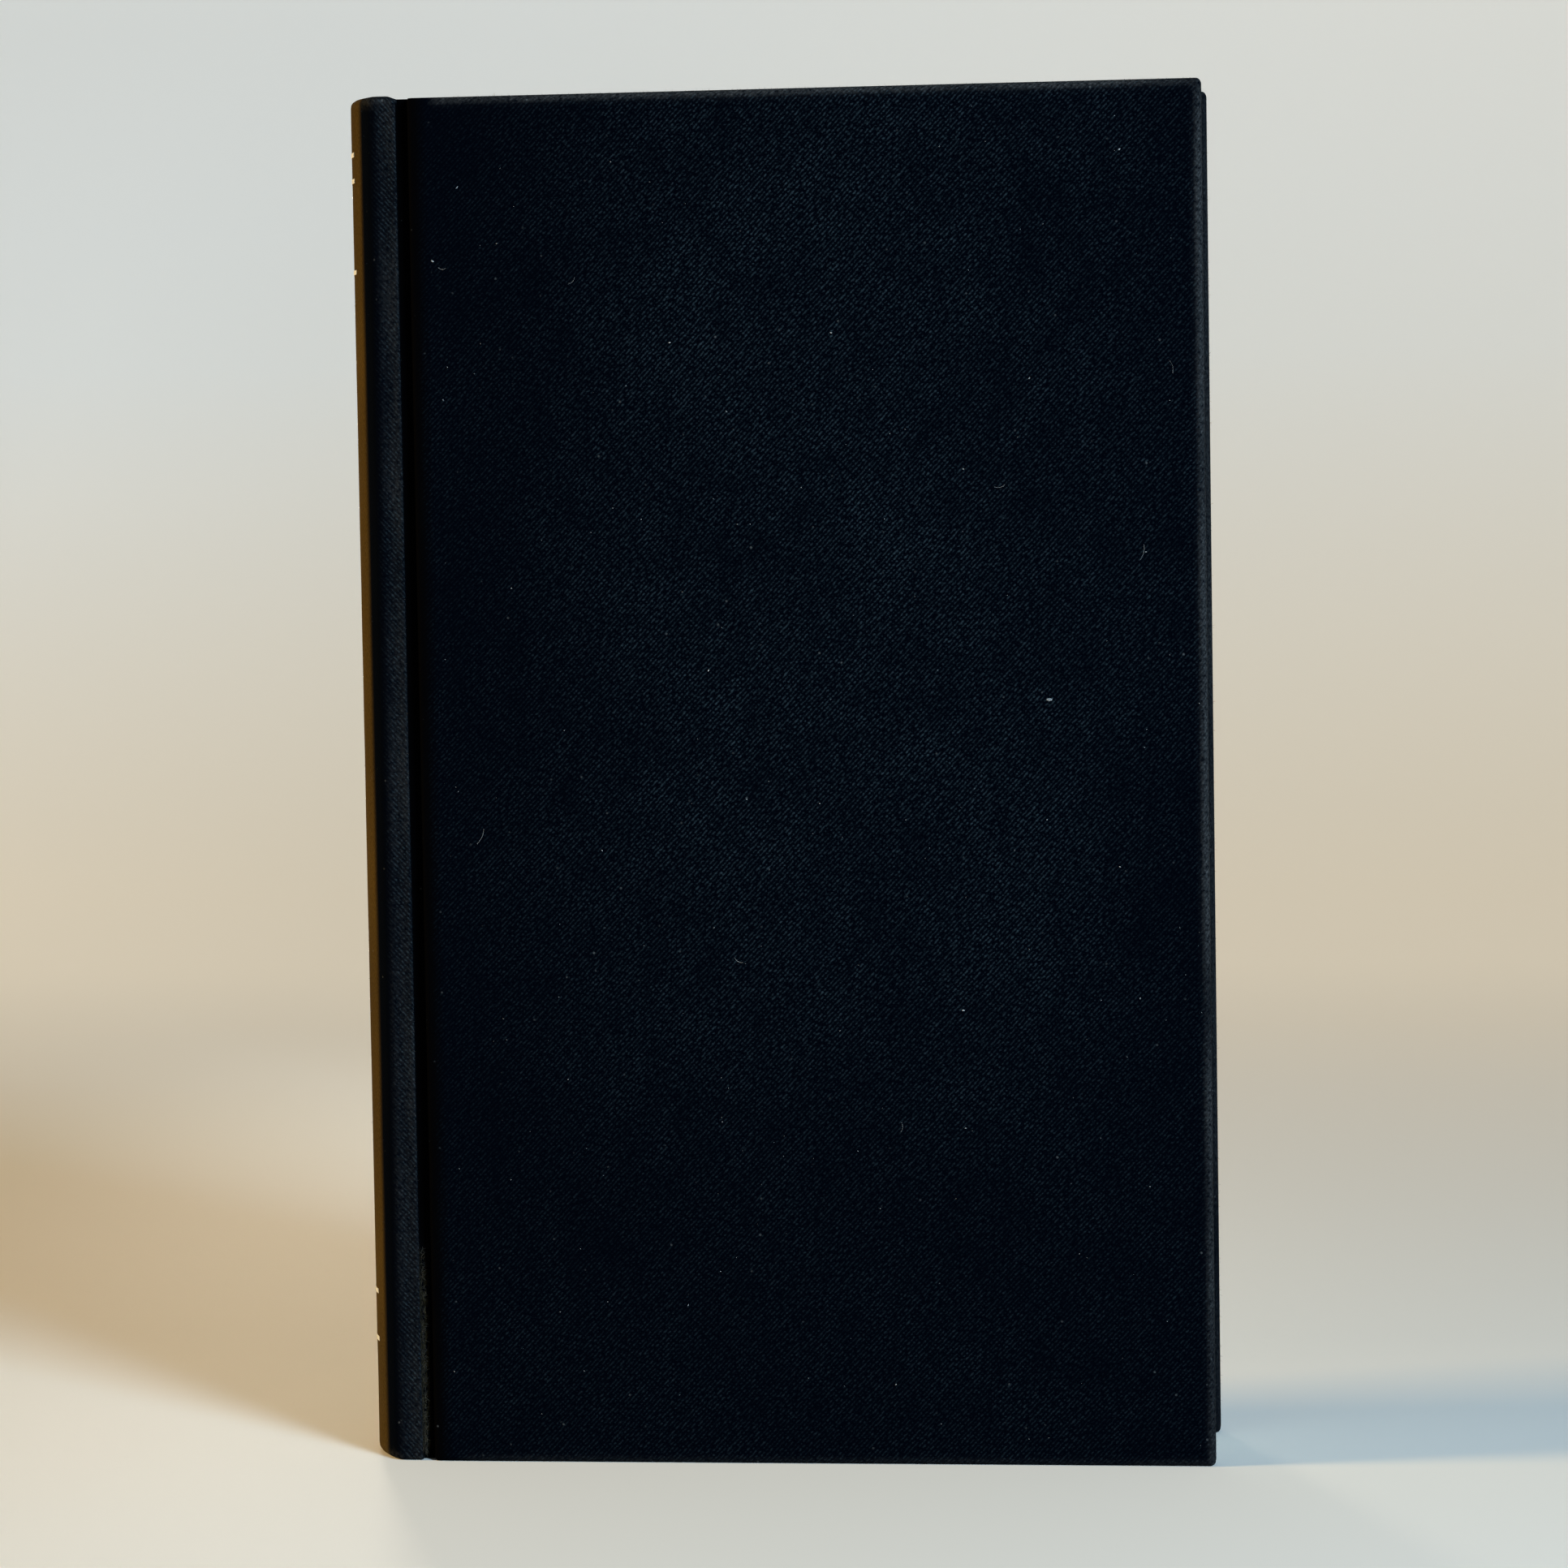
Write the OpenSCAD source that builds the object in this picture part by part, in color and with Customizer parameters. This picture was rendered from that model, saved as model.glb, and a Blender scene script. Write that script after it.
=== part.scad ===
// Cloth-bound hardback book with a rounded hollow back, closed and standing on its tail edge.
// The spine faces -X, the fore edge +X and the front cover -Y. The tail stands on Z = 0.
// Depths are measured inwards from the outer face of a cover.

/* [Case] */
// Height of the covers from tail to head
case_h = 210; // [150:1:300]
// Width of the closed book from the stamped spine to the fore edge of the covers
case_w = 132; // [100:1:220]
// Thickness of the closed book over both covers
case_t = 30; // [24:1:60]
// Thickness of the grey board in a cover
board_t = 2.6; // [2:0.1:4]
// Radius of the covers' edges and corners
edge_r = 0.8; // [0.5:0.1:1.2]

/* [Cloth] */
// Thickness of the book cloth
cloth_t = 0.4; // [0.2:0.05:0.6]
// Width of the cloth that is turned in over the inner side
turn_in = 15; // [8:1:20]

/* [Spine and grooves] */
// How far the stamped spine bulges past the edges that border the grooves
spine_bulge = 9.4; // [8:0.2:12]
// Width of the flat shoulder between the arc of the spine and a groove
shoulder_w = 3.9; // [2.5:0.1:5]
// How far those edges lie below the outer faces of the covers
crest_drop = 0.4; // [0.2:0.05:0.6]
// Width of the groove between spine and cover
groove_w = 1.9; // [1.5:0.1:4]
// Radius of the turned cloth at the head and tail of the spine
cap_r = 1.1; // [0.6:0.1:1.2]
// Thickness of the card under the spine cloth
inlay_t = 0.7; // [0.4:0.1:1.2]
// Air between the turned-in spine cloth and the lining of the back
hollow_clear = 0.2; // [0.1:0.05:0.6]
// Thickness of the paper lining on the back
lining_t = 0.3; // [0.1:0.05:0.5]
// How far the lining stops short of the ends of the pages
lining_short = 2; // [1:0.5:6]

/* [Mull] */
// Thickness of the mull
mull_t = 0.2; // [0.1:0.05:0.3]
// Width of the wing that is glued to a cover
wing_w = 25; // [15:1:40]
// Gap between the ends of the mull and the turned-in cloth
mull_short = 3; // [1:0.5:8]

/* [Pages] */
// How far the covers overhang the pages at head and tail
square_w = 3; // [2:0.5:5]
// How far the covers overhang the pages at the fore edge
fore_square = 3.5; // [2:0.5:6]
// Thickness of an endpaper
paper_t = 0.2; // [0.1:0.05:0.3]
// How far a pastedown stops short of the edges of its cover
paste_margin = 3.5; // [2:0.5:6]
// Air between a pastedown and its flyleaf
leaf_gap = 0.1; // [0.05:0.05:0.4]

/* [Bands] */
// Radius of the bead of the headband and tailband
bead_r = 0.8; // [0.5:0.1:1]

/* [Stamping] */
// Height of a stamped rule
rule_h = 0.7; // [0.4:0.1:2]
// Length of a stamped rule round the spine
rule_len = 17.5; // [8:0.5:20]
// Thickness of a stamped rule
rule_t = 0.05; // [0.03:0.01:0.1]
// Distance of the first rule from the head
head_rule = 8; // [4:0.5:10]
// Distance between the two rules at the head
head_pair = 4; // [2:0.5:10]
// Height of the blank panel under them
panel_h = 14; // [8:1:40]
// Distance of the lower pair of rules from the tail
tail_rule = 18; // [10:1:40]
// Distance between the rules of the lower pair
tail_pair = 7.5; // [3:0.5:20]

/* [Hidden] */

// Gap between a strip that stays with the spine and the cover beside it
joint_gap = 0.1;
// Gap between the cloth of a groove and the mull behind it
glue_gap = 0.05;
// Gap between the flange of a band and the end of the mull
band_gap = 1;
// How far a cutter runs past what it cuts
past = 1;

// Places along X
spine_x = -case_w / 2;
fore_x = case_w / 2;
crest_x = spine_x + spine_bulge;
cover_x = crest_x + groove_w;
cover_w = fore_x - cover_x;
joint_x = cover_x - joint_gap;
page_x = fore_x - fore_square;

// Depths from the outer face of a cover
floor_d = board_t - cloth_t;
board_d = cloth_t + board_t;
covered_d = board_d + cloth_t;
wing_d = board_d + mull_t;
paste_d = covered_d + paper_t;
leaf_d = paste_d + leaf_gap;
block_d = leaf_d + paper_t;

// Arc of the spine cloth: crown under the rules, ends at arc_x, where a flat shoulder takes over
half_t = case_t / 2;
crest_y = half_t - crest_drop;
crown_x = spine_x + rule_t;
arc_x = crest_x - shoulder_w;
rise = arc_x - crown_x;
spine_r = (crest_y * crest_y + rise * rise) / (2 * rise);
spine_cx = crown_x + spine_r;
inlay_r = spine_r - cloth_t;
turned_r = inlay_r - inlay_t;
lining_r = turned_r - cloth_t - hollow_clear;
mull_r = lining_r - lining_t;
back_r = mull_r - mull_t;
inlay_x = crest_x - cloth_t;

// Shoulder of the page block: the mull clears the cloth of the groove there
block_y = half_t - block_d;
floor_y = half_t - floor_d - cloth_t - glue_gap;
shoulder_x = spine_cx - sqrt(mull_r * mull_r - floor_y * floor_y);
fold_x = shoulder_x + mull_t;
back_x = min(inlay_x, shoulder_x) - glue_gap;

// Heights
mull_z = turn_in + mull_short;
head_z = case_h - head_rule;
rules_up = [head_z, head_z - head_pair, head_z - head_pair - panel_h, tail_rule + tail_pair, tail_rule];

cloth_colour = [0.03, 0.04, 0.055];
board_colour = [0.45, 0.43, 0.39];
paper_colour = [0.86, 0.82, 0.72];
page_colour = [0.84, 0.79, 0.67];
gauze_colour = [0.78, 0.74, 0.64];
band_colour = [0.75, 0.7, 0.6];
foil_colour = [0.85, 0.85, 0.83];
$fn = 96;
corner_fn = 32;

// Rectangle from the origin with round corners
module rounded(w, h, r) {
    translate([r, 0]) square([w - 2 * r, h]);
    translate([0, r]) square([w, h - 2 * r]);
    for (x = [r, w - r], y = [r, h - r])
        translate([x, y]) circle(r, $fn = corner_fn);
}

// The same with only the corners on its right rounded
module nosed(w, h, r) {
    intersection() {
        square([w, h]);
        translate([-2 * r, 0]) rounded(w + 2 * r, h, r);
    }
}

// Block from the origin with every edge and corner rounded
module slab(w, t, h, r) {
    intersection() {
        linear_extrude(h) rounded(w, t, r);
        translate([0, t, 0]) rotate([90, 0, 0]) linear_extrude(t) rounded(w, h, r);
        rotate([90, 0, 90]) linear_extrude(w) rounded(t, h, r);
    }
}

// Box from x0 to x1, from depth d0 to d1 and from z0 to z1
module layer(x0, x1, d0, d1, z0, z1) {
    translate([x0, d0, z0]) cube([x1 - x0, d1 - d0, z1 - z0]);
}

// Puts what is drawn in depths at the front cover
module front() {
    translate([0, -half_t, 0]) children();
}

// The same at the rear cover
module rear() {
    mirror([0, 1, 0]) front() children();
}

// Flat ring round the centre of the spine, cut off at x1
module ring(r0, r1, x1) {
    intersection() {
        translate([spine_cx, 0]) difference() {
            circle(r1);
            circle(r0);
        }
        translate([spine_x, -half_t]) square([x1 - spine_x, case_t]);
    }
}

// Turns a profile in radius and height round the spine, cut off at x1
module round_spine(x1) {
    intersection() {
        translate([spine_cx, 0, 0]) rotate_extrude() children();
        translate([spine_x, -half_t, 0]) cube([x1 - spine_x, case_t, case_h]);
    }
}

// Keeps what lies within y of the middle and z0 of the ends, with the edges at head and tail rounded
module within(y, z0, r) {
    intersection() {
        children();
        translate([spine_x - past, -y, z0]) rotate([90, 0, 90])
            linear_extrude(crest_x - spine_x + 2 * past) rounded(2 * y, case_h - 2 * z0, r);
    }
}

// A section in radius and height that runs straight from x0 over both shoulders
module shoulders(x0) {
    for (side = [0, 1])
        mirror([0, side, 0]) translate([x0, crest_y - spine_r, 0]) rotate([90, 0, 90])
            linear_extrude(inlay_x - x0) children();
}

module board() {
    color(board_colour)
        translate([cover_x + cloth_t, cloth_t, cloth_t])
            slab(cover_w - 2 * cloth_t, board_t, case_h - 2 * cloth_t, edge_r - cloth_t / 2);
}

module cover_cloth() {
    color(cloth_colour) difference() {
        translate([cover_x, 0, 0]) slab(cover_w, covered_d, case_h, edge_r);
        board();
        layer(cover_x - past, fore_x - turn_in, board_d, covered_d + past, turn_in, case_h - turn_in);
    }
}

module mull_wing() {
    color(gauze_colour) layer(cover_x, cover_x + wing_w, board_d, wing_d, mull_z, case_h - mull_z);
}

// Pastedown: lies on the board, and steps up over the mull wing and over the turned-in cloth
module pastedown() {
    step_x = cover_x + wing_w + paper_t;
    low_z = turn_in + paper_t;
    color(paper_colour) difference() {
        layer(cover_x, fore_x - paste_margin, board_d, paste_d, paste_margin, case_h - paste_margin);
        for (z = [0, case_h - turn_in])
            layer(cover_x - past, fore_x, board_d - past, covered_d, z, z + turn_in);
        layer(fore_x - turn_in, fore_x, board_d - past, covered_d, 0, case_h);
        mull_wing();
        layer(cover_x - past, step_x, wing_d + paper_t, paste_d + past, low_z, case_h - low_z);
        layer(step_x - past, fore_x - low_z, board_d + paper_t, paste_d + past, low_z, case_h - low_z);
    }
}

// Section of the spine cloth in radius and height: outer face, turned ends, layer inside the card
module spine_section() {
    wrap_t = 2 * cloth_t + inlay_t;
    translate([spine_r - wrap_t, 0]) difference() {
        nosed(wrap_t, case_h, cap_r);
        translate([-past, turn_in]) square([wrap_t - cloth_t + past, case_h - 2 * turn_in]);
    }
}

// Section of the card under the spine cloth
module inlay_section() {
    translate([turned_r, cloth_t]) nosed(inlay_t, case_h - 2 * cloth_t, cap_r - cloth_t);
}

module spine_cloth() {
    color(cloth_colour) difference() {
        union() {
            within(crest_y, 0, cap_r + glue_gap) round_spine(inlay_x) spine_section();
            shoulders(arc_x + glue_gap) spine_section();
        }
        spine_inlay();
    }
}

module spine_inlay() {
    color(board_colour) {
        within(crest_y - cloth_t, cloth_t, cap_r - cloth_t + glue_gap) round_spine(inlay_x) inlay_section();
        shoulders(arc_x + cloth_t) inlay_section();
    }
}

// Cloth of a groove: down the edge of the spine, across the floor, and turned in at head and tail
module joint_cloth() {
    color(cloth_colour) {
        within(crest_y, 0, cap_r) front() layer(inlay_x, crest_x, 0, floor_d + cloth_t, 0, case_h);
        front() {
            layer(inlay_x, joint_x, floor_d, floor_d + cloth_t, 0, case_h);
            for (z = [0, case_h - turn_in])
                layer(max(inlay_x, shoulder_x) + joint_gap, joint_x, floor_d, board_d, z, z + turn_in);
        }
    }
}

module spine_lining() {
    z0 = square_w + lining_short;
    color(paper_colour) translate([0, 0, z0])
        linear_extrude(case_h - 2 * z0) ring(mull_r, lining_r, back_x);
}

// Half of the mull beyond the back: down the shoulder and across the joint
module mull_flap() {
    front() {
        layer(shoulder_x, fold_x, half_t - floor_y, wing_d, mull_z, case_h - mull_z);
        layer(shoulder_x, joint_x, board_d, wing_d, mull_z, case_h - mull_z);
    }
}

module mull() {
    color(gauze_colour) {
        translate([0, 0, mull_z]) linear_extrude(case_h - 2 * mull_z) intersection() {
            ring(back_r, mull_r, fold_x);
            translate([spine_x, -floor_y]) square([fold_x - spine_x, 2 * floor_y]);
        }
        mull_flap();
        mirror([0, 1, 0]) mull_flap();
    }
}

// Band at the head: a bead on the ends of the pages and a flange down the back
module band() {
    flange_z = case_h - mull_z + band_gap;
    bead_z = case_h - square_w + bead_r;
    round_spine(back_x) {
        translate([lining_r - bead_r, bead_z]) circle(bead_r, $fn = corner_fn);
        translate([back_r, flange_z]) square([mull_t, bead_z - flange_z]);
    }
}

module headband() {
    color(band_colour) band();
}

module tailband() {
    color(band_colour) translate([0, 0, case_h]) mirror([0, 0, 1]) band();
}

// Pages: flat sides, round back with a shoulder to each side, and a fore edge as hollow as the back is round
module page_block() {
    hollow_y = block_y - 2 * paper_t;
    fore_cx = page_x + sqrt(back_r * back_r - hollow_y * hollow_y);
    color(page_colour) translate([0, 0, square_w]) linear_extrude(case_h - 2 * square_w) difference() {
        union() {
            intersection() {
                translate([spine_cx, 0]) circle(back_r);
                translate([spine_x, -half_t]) square([shoulder_x - spine_x, case_t]);
            }
            translate([back_x, -block_y]) square([page_x - back_x, 2 * block_y]);
        }
        translate([fore_cx, 0]) circle(back_r);
    }
}

// Free endpaper with its fold up the shoulder and across the joint
module flyleaf() {
    z1 = case_h - square_w;
    color(paper_colour) {
        layer(fold_x, page_x, leaf_d, block_d, square_w, z1);
        layer(fold_x, fold_x + paper_t, wing_d, block_d, square_w, z1);
        layer(fold_x, joint_x, wing_d, wing_d + paper_t, square_w, z1);
    }
}

// Plain stamped rules on the spine cloth
module spine_rules() {
    half_a = rule_len / spine_r / 2 * 180 / PI;
    color(foil_colour)
        for (z = rules_up)
            translate([spine_cx, 0, z - rule_h / 2])
                rotate([0, 0, 180 - half_a])
                    rotate_extrude(angle = 2 * half_a)
                        translate([spine_r, 0]) square([rule_t, rule_h]);
}

module front_board() { front() board(); }
module rear_board() { rear() board(); }
module front_cover_cloth() { front() cover_cloth(); }
module rear_cover_cloth() { rear() cover_cloth(); }
module front_mull_wing() { front() mull_wing(); }
module rear_mull_wing() { rear() mull_wing(); }
module front_pastedown() { front() pastedown(); }
module rear_pastedown() { rear() pastedown(); }
module front_joint_cloth() { joint_cloth(); }
module rear_joint_cloth() { mirror([0, 1, 0]) joint_cloth(); }
module front_flyleaf() { front() flyleaf(); }
module rear_flyleaf() { rear() flyleaf(); }

front_board();
rear_board();
front_cover_cloth();
rear_cover_cloth();
front_mull_wing();
rear_mull_wing();
front_pastedown();
rear_pastedown();
spine_cloth();
front_joint_cloth();
rear_joint_cloth();
spine_inlay();
spine_lining();
mull();
headband();
tailband();
page_block();
front_flyleaf();
rear_flyleaf();
spine_rules();
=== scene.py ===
import bpy
import bmesh
import math
import random
from mathutils import Matrix, Vector, noise


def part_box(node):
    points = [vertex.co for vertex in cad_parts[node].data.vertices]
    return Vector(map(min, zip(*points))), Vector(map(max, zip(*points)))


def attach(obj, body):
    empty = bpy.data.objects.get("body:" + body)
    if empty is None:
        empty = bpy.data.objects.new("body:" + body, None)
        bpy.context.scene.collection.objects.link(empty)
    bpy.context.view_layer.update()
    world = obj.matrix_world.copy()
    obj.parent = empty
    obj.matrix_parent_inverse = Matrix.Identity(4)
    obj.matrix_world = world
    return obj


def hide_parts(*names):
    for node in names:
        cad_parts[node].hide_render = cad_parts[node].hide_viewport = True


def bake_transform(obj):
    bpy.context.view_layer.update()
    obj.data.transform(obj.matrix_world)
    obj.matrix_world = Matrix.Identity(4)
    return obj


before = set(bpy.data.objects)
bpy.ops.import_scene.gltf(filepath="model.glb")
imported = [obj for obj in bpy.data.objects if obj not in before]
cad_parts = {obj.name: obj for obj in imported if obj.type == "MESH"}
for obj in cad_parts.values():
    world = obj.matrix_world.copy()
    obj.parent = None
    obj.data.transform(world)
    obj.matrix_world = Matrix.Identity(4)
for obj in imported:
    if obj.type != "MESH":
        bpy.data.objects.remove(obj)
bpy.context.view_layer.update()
print("frame loaded")

mm = 0.001


def nodeBox(node):
    low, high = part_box(node)
    return low / mm, high / mm


# sizes of the book in millimetres, read from its nodes
coverLow, coverHigh = nodeBox("front_cover_cloth")
spineLow = nodeBox("spine_cloth")[0]
jointLow = nodeBox("front_joint_cloth")[0]
pageLow, pageHigh = nodeBox("page_block")
pasteLow, pasteHigh = nodeBox("front_pastedown")
wingLow, wingHigh = nodeBox("front_mull_wing")
leafLow, leafHigh = nodeBox("front_flyleaf")
liningLow, liningHigh = nodeBox("spine_lining")
mullLow, mullHigh = nodeBox("mull")

tall = coverHigh.z
halfThick = -coverLow.y
foreX = coverHigh.x
coverX = coverLow.x
crestX = jointLow.x + 0.4
crestY = -jointLow.y
shoulder = 3.9  # width of the flat shoulder beside the groove
spineRise = crestX - shoulder - spineLow.x
spineRadius = (crestY ** 2 + spineRise ** 2) / (2 * spineRise)
spineMidX = spineLow.x + spineRadius
blockRadius = spineMidX - pageLow.x


# helpers

def smooth(low, high, value):
    t = min(1, max(0, (value - low) / (high - low)))
    return t * t * (3 - 2 * t)


def linkMesh(name, bm, material):
    mesh = bpy.data.meshes.new(name)
    bm.to_mesh(mesh)
    bm.free()
    mesh.materials.append(material)
    mesh.shade_smooth()
    made = bpy.data.objects.new(name, mesh)
    bpy.context.scene.collection.objects.link(made)
    return made


def linkPiece(name, bm, material, sharp=40):
    # a mesh made in millimetres becomes a piece
    bmesh.ops.scale(bm, vec=(mm, mm, mm), verts=bm.verts[:])
    piece = linkMesh(name, bm, material)
    piece.data.set_sharp_from_angle(angle=math.radians(sharp))
    return piece


def newSheet():
    bm = bmesh.new()
    return bm, bm.loops.layers.uv.new("UVMap")


def lengthsAlong(points):
    lengths = [0]
    for a, b in zip(points, points[1:]):
        lengths.append(lengths[-1] + math.dist(a, b))
    return lengths


def gridSheet(bm, columns, rows, place, flat, uv):
    # a grid whose point (i, j) goes to place(i, j), with the flat cut in its uv map
    made = bmesh.ops.create_grid(bm, x_segments=columns - 1, y_segments=rows - 1, size=1)
    index = {}
    for v in made["verts"]:
        i = round((v.co.x + 1) / 2 * (columns - 1))
        j = round((v.co.y + 1) / 2 * (rows - 1))
        index[v] = (i, j)
    faces = {f for v in made["verts"] for f in v.link_faces}
    for f in faces:
        for loop in f.loops:
            u, w = flat(*index[loop.vert])
            loop[uv].uv = (u / 100, w / 100)
    for v, spot in index.items():
        v.co = place(*spot)
    return {spot: v for v, spot in index.items()}, faces


def thicken(bm, isOuter, thickness, only=None):
    # all faces one way round, outwards where isOuter says so, and the thickness on their other side
    faces = only or bm.faces[:]
    bmesh.ops.recalc_face_normals(bm, faces=faces)
    if sum(isOuter(f) for f in faces) < 0:
        bmesh.ops.reverse_faces(bm, faces=faces)
    bmesh.ops.solidify(bm, geom=faces, thickness=thickness)


def markVerts(bm, **marks):
    # an attribute for each mark, with its value at every vertex
    for name, valueAt in marks.items():
        layer = bm.verts.layers.float.new(name)
        for v in bm.verts:
            v[layer] = valueAt(v.co)


# materials

waveUnit = 0.31416  # how far apart a wave texture's bands are at a scale of 1


def newMaterial(name):
    material = bpy.data.materials.new(name)
    material.use_nodes = True
    tree = material.node_tree
    tree.nodes.clear()
    output = tree.nodes.new("ShaderNodeOutputMaterial")
    shader = tree.nodes.new("ShaderNodeBsdfPrincipled")
    tree.links.new(shader.outputs["BSDF"], output.inputs["Surface"])
    return material, tree, shader


def addNode(tree, kind, inputs=None, **settings):
    made = tree.nodes.new("ShaderNode" + kind)
    for key, value in settings.items():
        setattr(made, key, value)
    for key, value in (inputs or {}).items():
        if isinstance(value, bpy.types.NodeSocket):
            tree.links.new(value, made.inputs[key])
        else:
            made.inputs[key].default_value = value
    return made


def treeOf(*values):
    # the node tree of the first socket among these
    return next(value.id_data for value in values if isinstance(value, bpy.types.NodeSocket))


def calc(operation, a, b=0.0, clamp=False):
    return addNode(treeOf(a, b), "Math", {0: a, 1: b}, operation=operation, use_clamp=clamp).outputs[0]


def times(a, b, clamp=False):
    return calc("MULTIPLY", a, b, clamp)


def plus(a, b):
    return calc("ADD", a, b)


def attribute(tree, name):
    return addNode(tree, "Attribute", attribute_name=name).outputs["Fac"]


def waves(vector, pitch, distortion, detailScale=1.0, direction="X"):
    # bands of thread, their pitch in millimetres
    inputs = {"Vector": vector, "Scale": waveUnit / pitch, "Distortion": distortion, "Detail Scale": detailScale}
    return addNode(treeOf(vector), "TexWave", inputs, bands_direction=direction).outputs["Fac"]


def ramp(value, low, high):
    return addNode(treeOf(value), "MapRange", {"Value": value, "From Min": low, "From Max": high}).outputs[0]


def blendColour(share, a, b):
    inputs = {0: share}
    for place, value in ((6, a), (7, b)):
        inputs[place] = value if isinstance(value, bpy.types.NodeSocket) else (*value, 1)
    return addNode(treeOf(share), "Mix", inputs, data_type="RGBA").outputs[2]


def millimetres(tree, source="Object"):
    coords = addNode(tree, "TexCoord").outputs[source]
    size = 1000 if source == "Object" else 100
    return addNode(tree, "Mapping", {"Vector": coords, "Scale": (size, size, size)}).outputs[0]


def turned(vector, degrees=0, scale=(1, 1, 1)):
    turn = (0, 0, math.radians(degrees))
    return addNode(treeOf(vector), "Mapping", {"Vector": vector, "Rotation": turn, "Scale": scale}).outputs[0]


def noiseAt(vector, scale, detail=2.0, rough=0.5):
    inputs = {"Vector": vector, "Scale": scale, "Detail": detail, "Roughness": rough}
    return addNode(treeOf(vector), "TexNoise", inputs).outputs["Fac"]


def bumpFrom(shader, height, strength, distance):
    tree = treeOf(height)
    made = addNode(tree, "Bump", {"Height": height, "Strength": strength, "Distance": distance * mm})
    tree.links.new(made.outputs["Normal"], shader.inputs["Normal"])


def paint(shader, colour, rough=None, specular=None):
    treeOf(colour).links.new(colour, shader.inputs["Base Color"])
    if rough is not None:
        shader.inputs["Roughness"].default_value = rough
    if specular is not None:
        shader.inputs["Specular IOR Level"].default_value = specular


clothLook = {
    "ground": (0.0001, 0.0006, 0.0019),
    "rib": (0.0180, 0.0290, 0.0355),
    # rubbed edges, partly a painted highlight of those edges
    "wornAndHighlight": (0.050, 0.051, 0.050),
    "frayed": (0.030, 0.024, 0.012),
    # painted warm light on the crown of the spine
    "sunned": (0.072, 0.0430, 0.0085),
    # painted shade of the grooves
    "grooveShade": (0.0004, 0.0004, 0.0006),
    "dust": (0.12, 0.13, 0.13),
    "dustShare": 0.3,
    "ribPitch": 0.54,  # mm from rib to rib
    "ribAngle": 47,
    "crossPitch": 0.62,
    "crossAngle": 43,
    "ribShare": 0.19, "crimpedRibShare": 0.22, "crossShare": 0.08, "yarnShare": 0.28, "crimpShare": 0.24,
    "seenFrom": 0.47, "seenTo": 0.88,  # heights of the weave between which the ground gives way to the rib
    "nubShare": 0.35,
    "bump": 0.1,
}


def makeWeave(flat):
    # ribs run up to the right, and the floats of the threads cross them the other way
    look = clothLook
    ribs = waves(turned(flat, 90 - look["ribAngle"]), look["ribPitch"], 1.2, 1.3)
    floats = waves(turned(flat, look["crossAngle"]), look["crossPitch"], 2.2, 1.6, "Y")
    yarn = ramp(noiseAt(turned(flat, -look["ribAngle"], (0.8, 1.9, 1)), 1.25, 3, 0.65), 0.3, 0.7)
    crimp = ramp(noiseAt(turned(flat, 12), 1.7, 3, 0.7), 0.3, 0.7)
    weave = times(ribs, plus(times(crimp, look["crimpedRibShare"]), look["ribShare"]))
    weave = plus(weave, times(floats, look["crossShare"]))
    weave = plus(weave, times(yarn, look["yarnShare"]))
    return plus(weave, times(crimp, look["crimpShare"]))


def makeCloth():
    material, tree, shader = newMaterial("blackTwill")
    look = clothLook
    flat = millimetres(tree, "UV")
    weave = makeWeave(flat)
    ribbed = ramp(weave, look["seenFrom"], look["seenTo"])
    nubs = ramp(noiseAt(turned(flat, 70, (1, 1.4, 1)), 0.9, 3, 0.6), 0.60, 0.80)
    clouds = ramp(noiseAt(flat, 0.04, 3, 0.55), 0.3, 0.7)
    patches = ramp(noiseAt(turned(flat, 0, (1, 0.7, 1)), 0.24, 5, 0.65), 0.32, 0.70)
    shade = plus(plus(times(clouds, 0.55), times(patches, 0.75)), 0.22)
    lift = times(plus(ribbed, times(nubs, look["nubShare"])), shade, True)
    # painted light and shade: a cover lighter in its middle and upper part, the spine darker in a strip beside its
    # shoulder
    lift = times(lift, attribute(tree, "handled"), True)
    colour = blendColour(lift, look["ground"], look["rib"])
    # fuzz and rubbing along edges and on the spine's shoulder, partly a painted highlight there, from the piece's own
    # attribute for wear and painted light
    wear = attribute(tree, "wear")
    rubAndHighlight = ramp(noiseAt(flat, 1.6, 4, 0.7), 0.34, 0.66)
    rubAndHighlight = times(rubAndHighlight, plus(times(ribbed, 0.8), 0.6))
    colour = blendColour(times(wear, rubAndHighlight, True), colour, look["wornAndHighlight"])
    # painted warm light: the crown of the spine is coloured brown where the warm lamp grazes it
    warmLightShare = times(attribute(tree, "sunned"), plus(times(weave, 0.7), 0.35), True)
    colour = blendColour(warmLightShare, colour, look["sunned"])
    fray = attribute(tree, "fray")
    threads = ramp(noiseAt(turned(flat, 0, (3.2, 0.7, 1)), 1.0, 3, 0.6), 0.42, 0.62)
    colour = blendColour(times(fray, threads, True), colour, look["frayed"])
    # painted shade: the cloth in the grooves and on the board's edge beside them is darkened where that attribute is
    # below zero
    grooveShadeShare = times(times(wear, -1.0, True), calc("SUBTRACT", 1.0, fray), True)
    colour = blendColour(grooveShadeShare, colour, look["grooveShade"])
    dust = addNode(tree, "TexVoronoi", {"Vector": flat, "Scale": 0.42}).outputs["Distance"]
    grain = ramp(noiseAt(flat, 0.6, 1), 0.55, 0.7)
    speck = times(ramp(dust, 0.10, 0.05), grain, True)
    colour = blendColour(times(speck, look["dustShare"]), colour, look["dust"])
    paint(shader, colour, 0.8, 0.006)
    bumpFrom(shader, weave, 0.6, look["bump"])
    shader.inputs["Sheen Weight"].default_value = 0.005
    shader.inputs["Sheen Roughness"].default_value = 0.15
    return material


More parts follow.
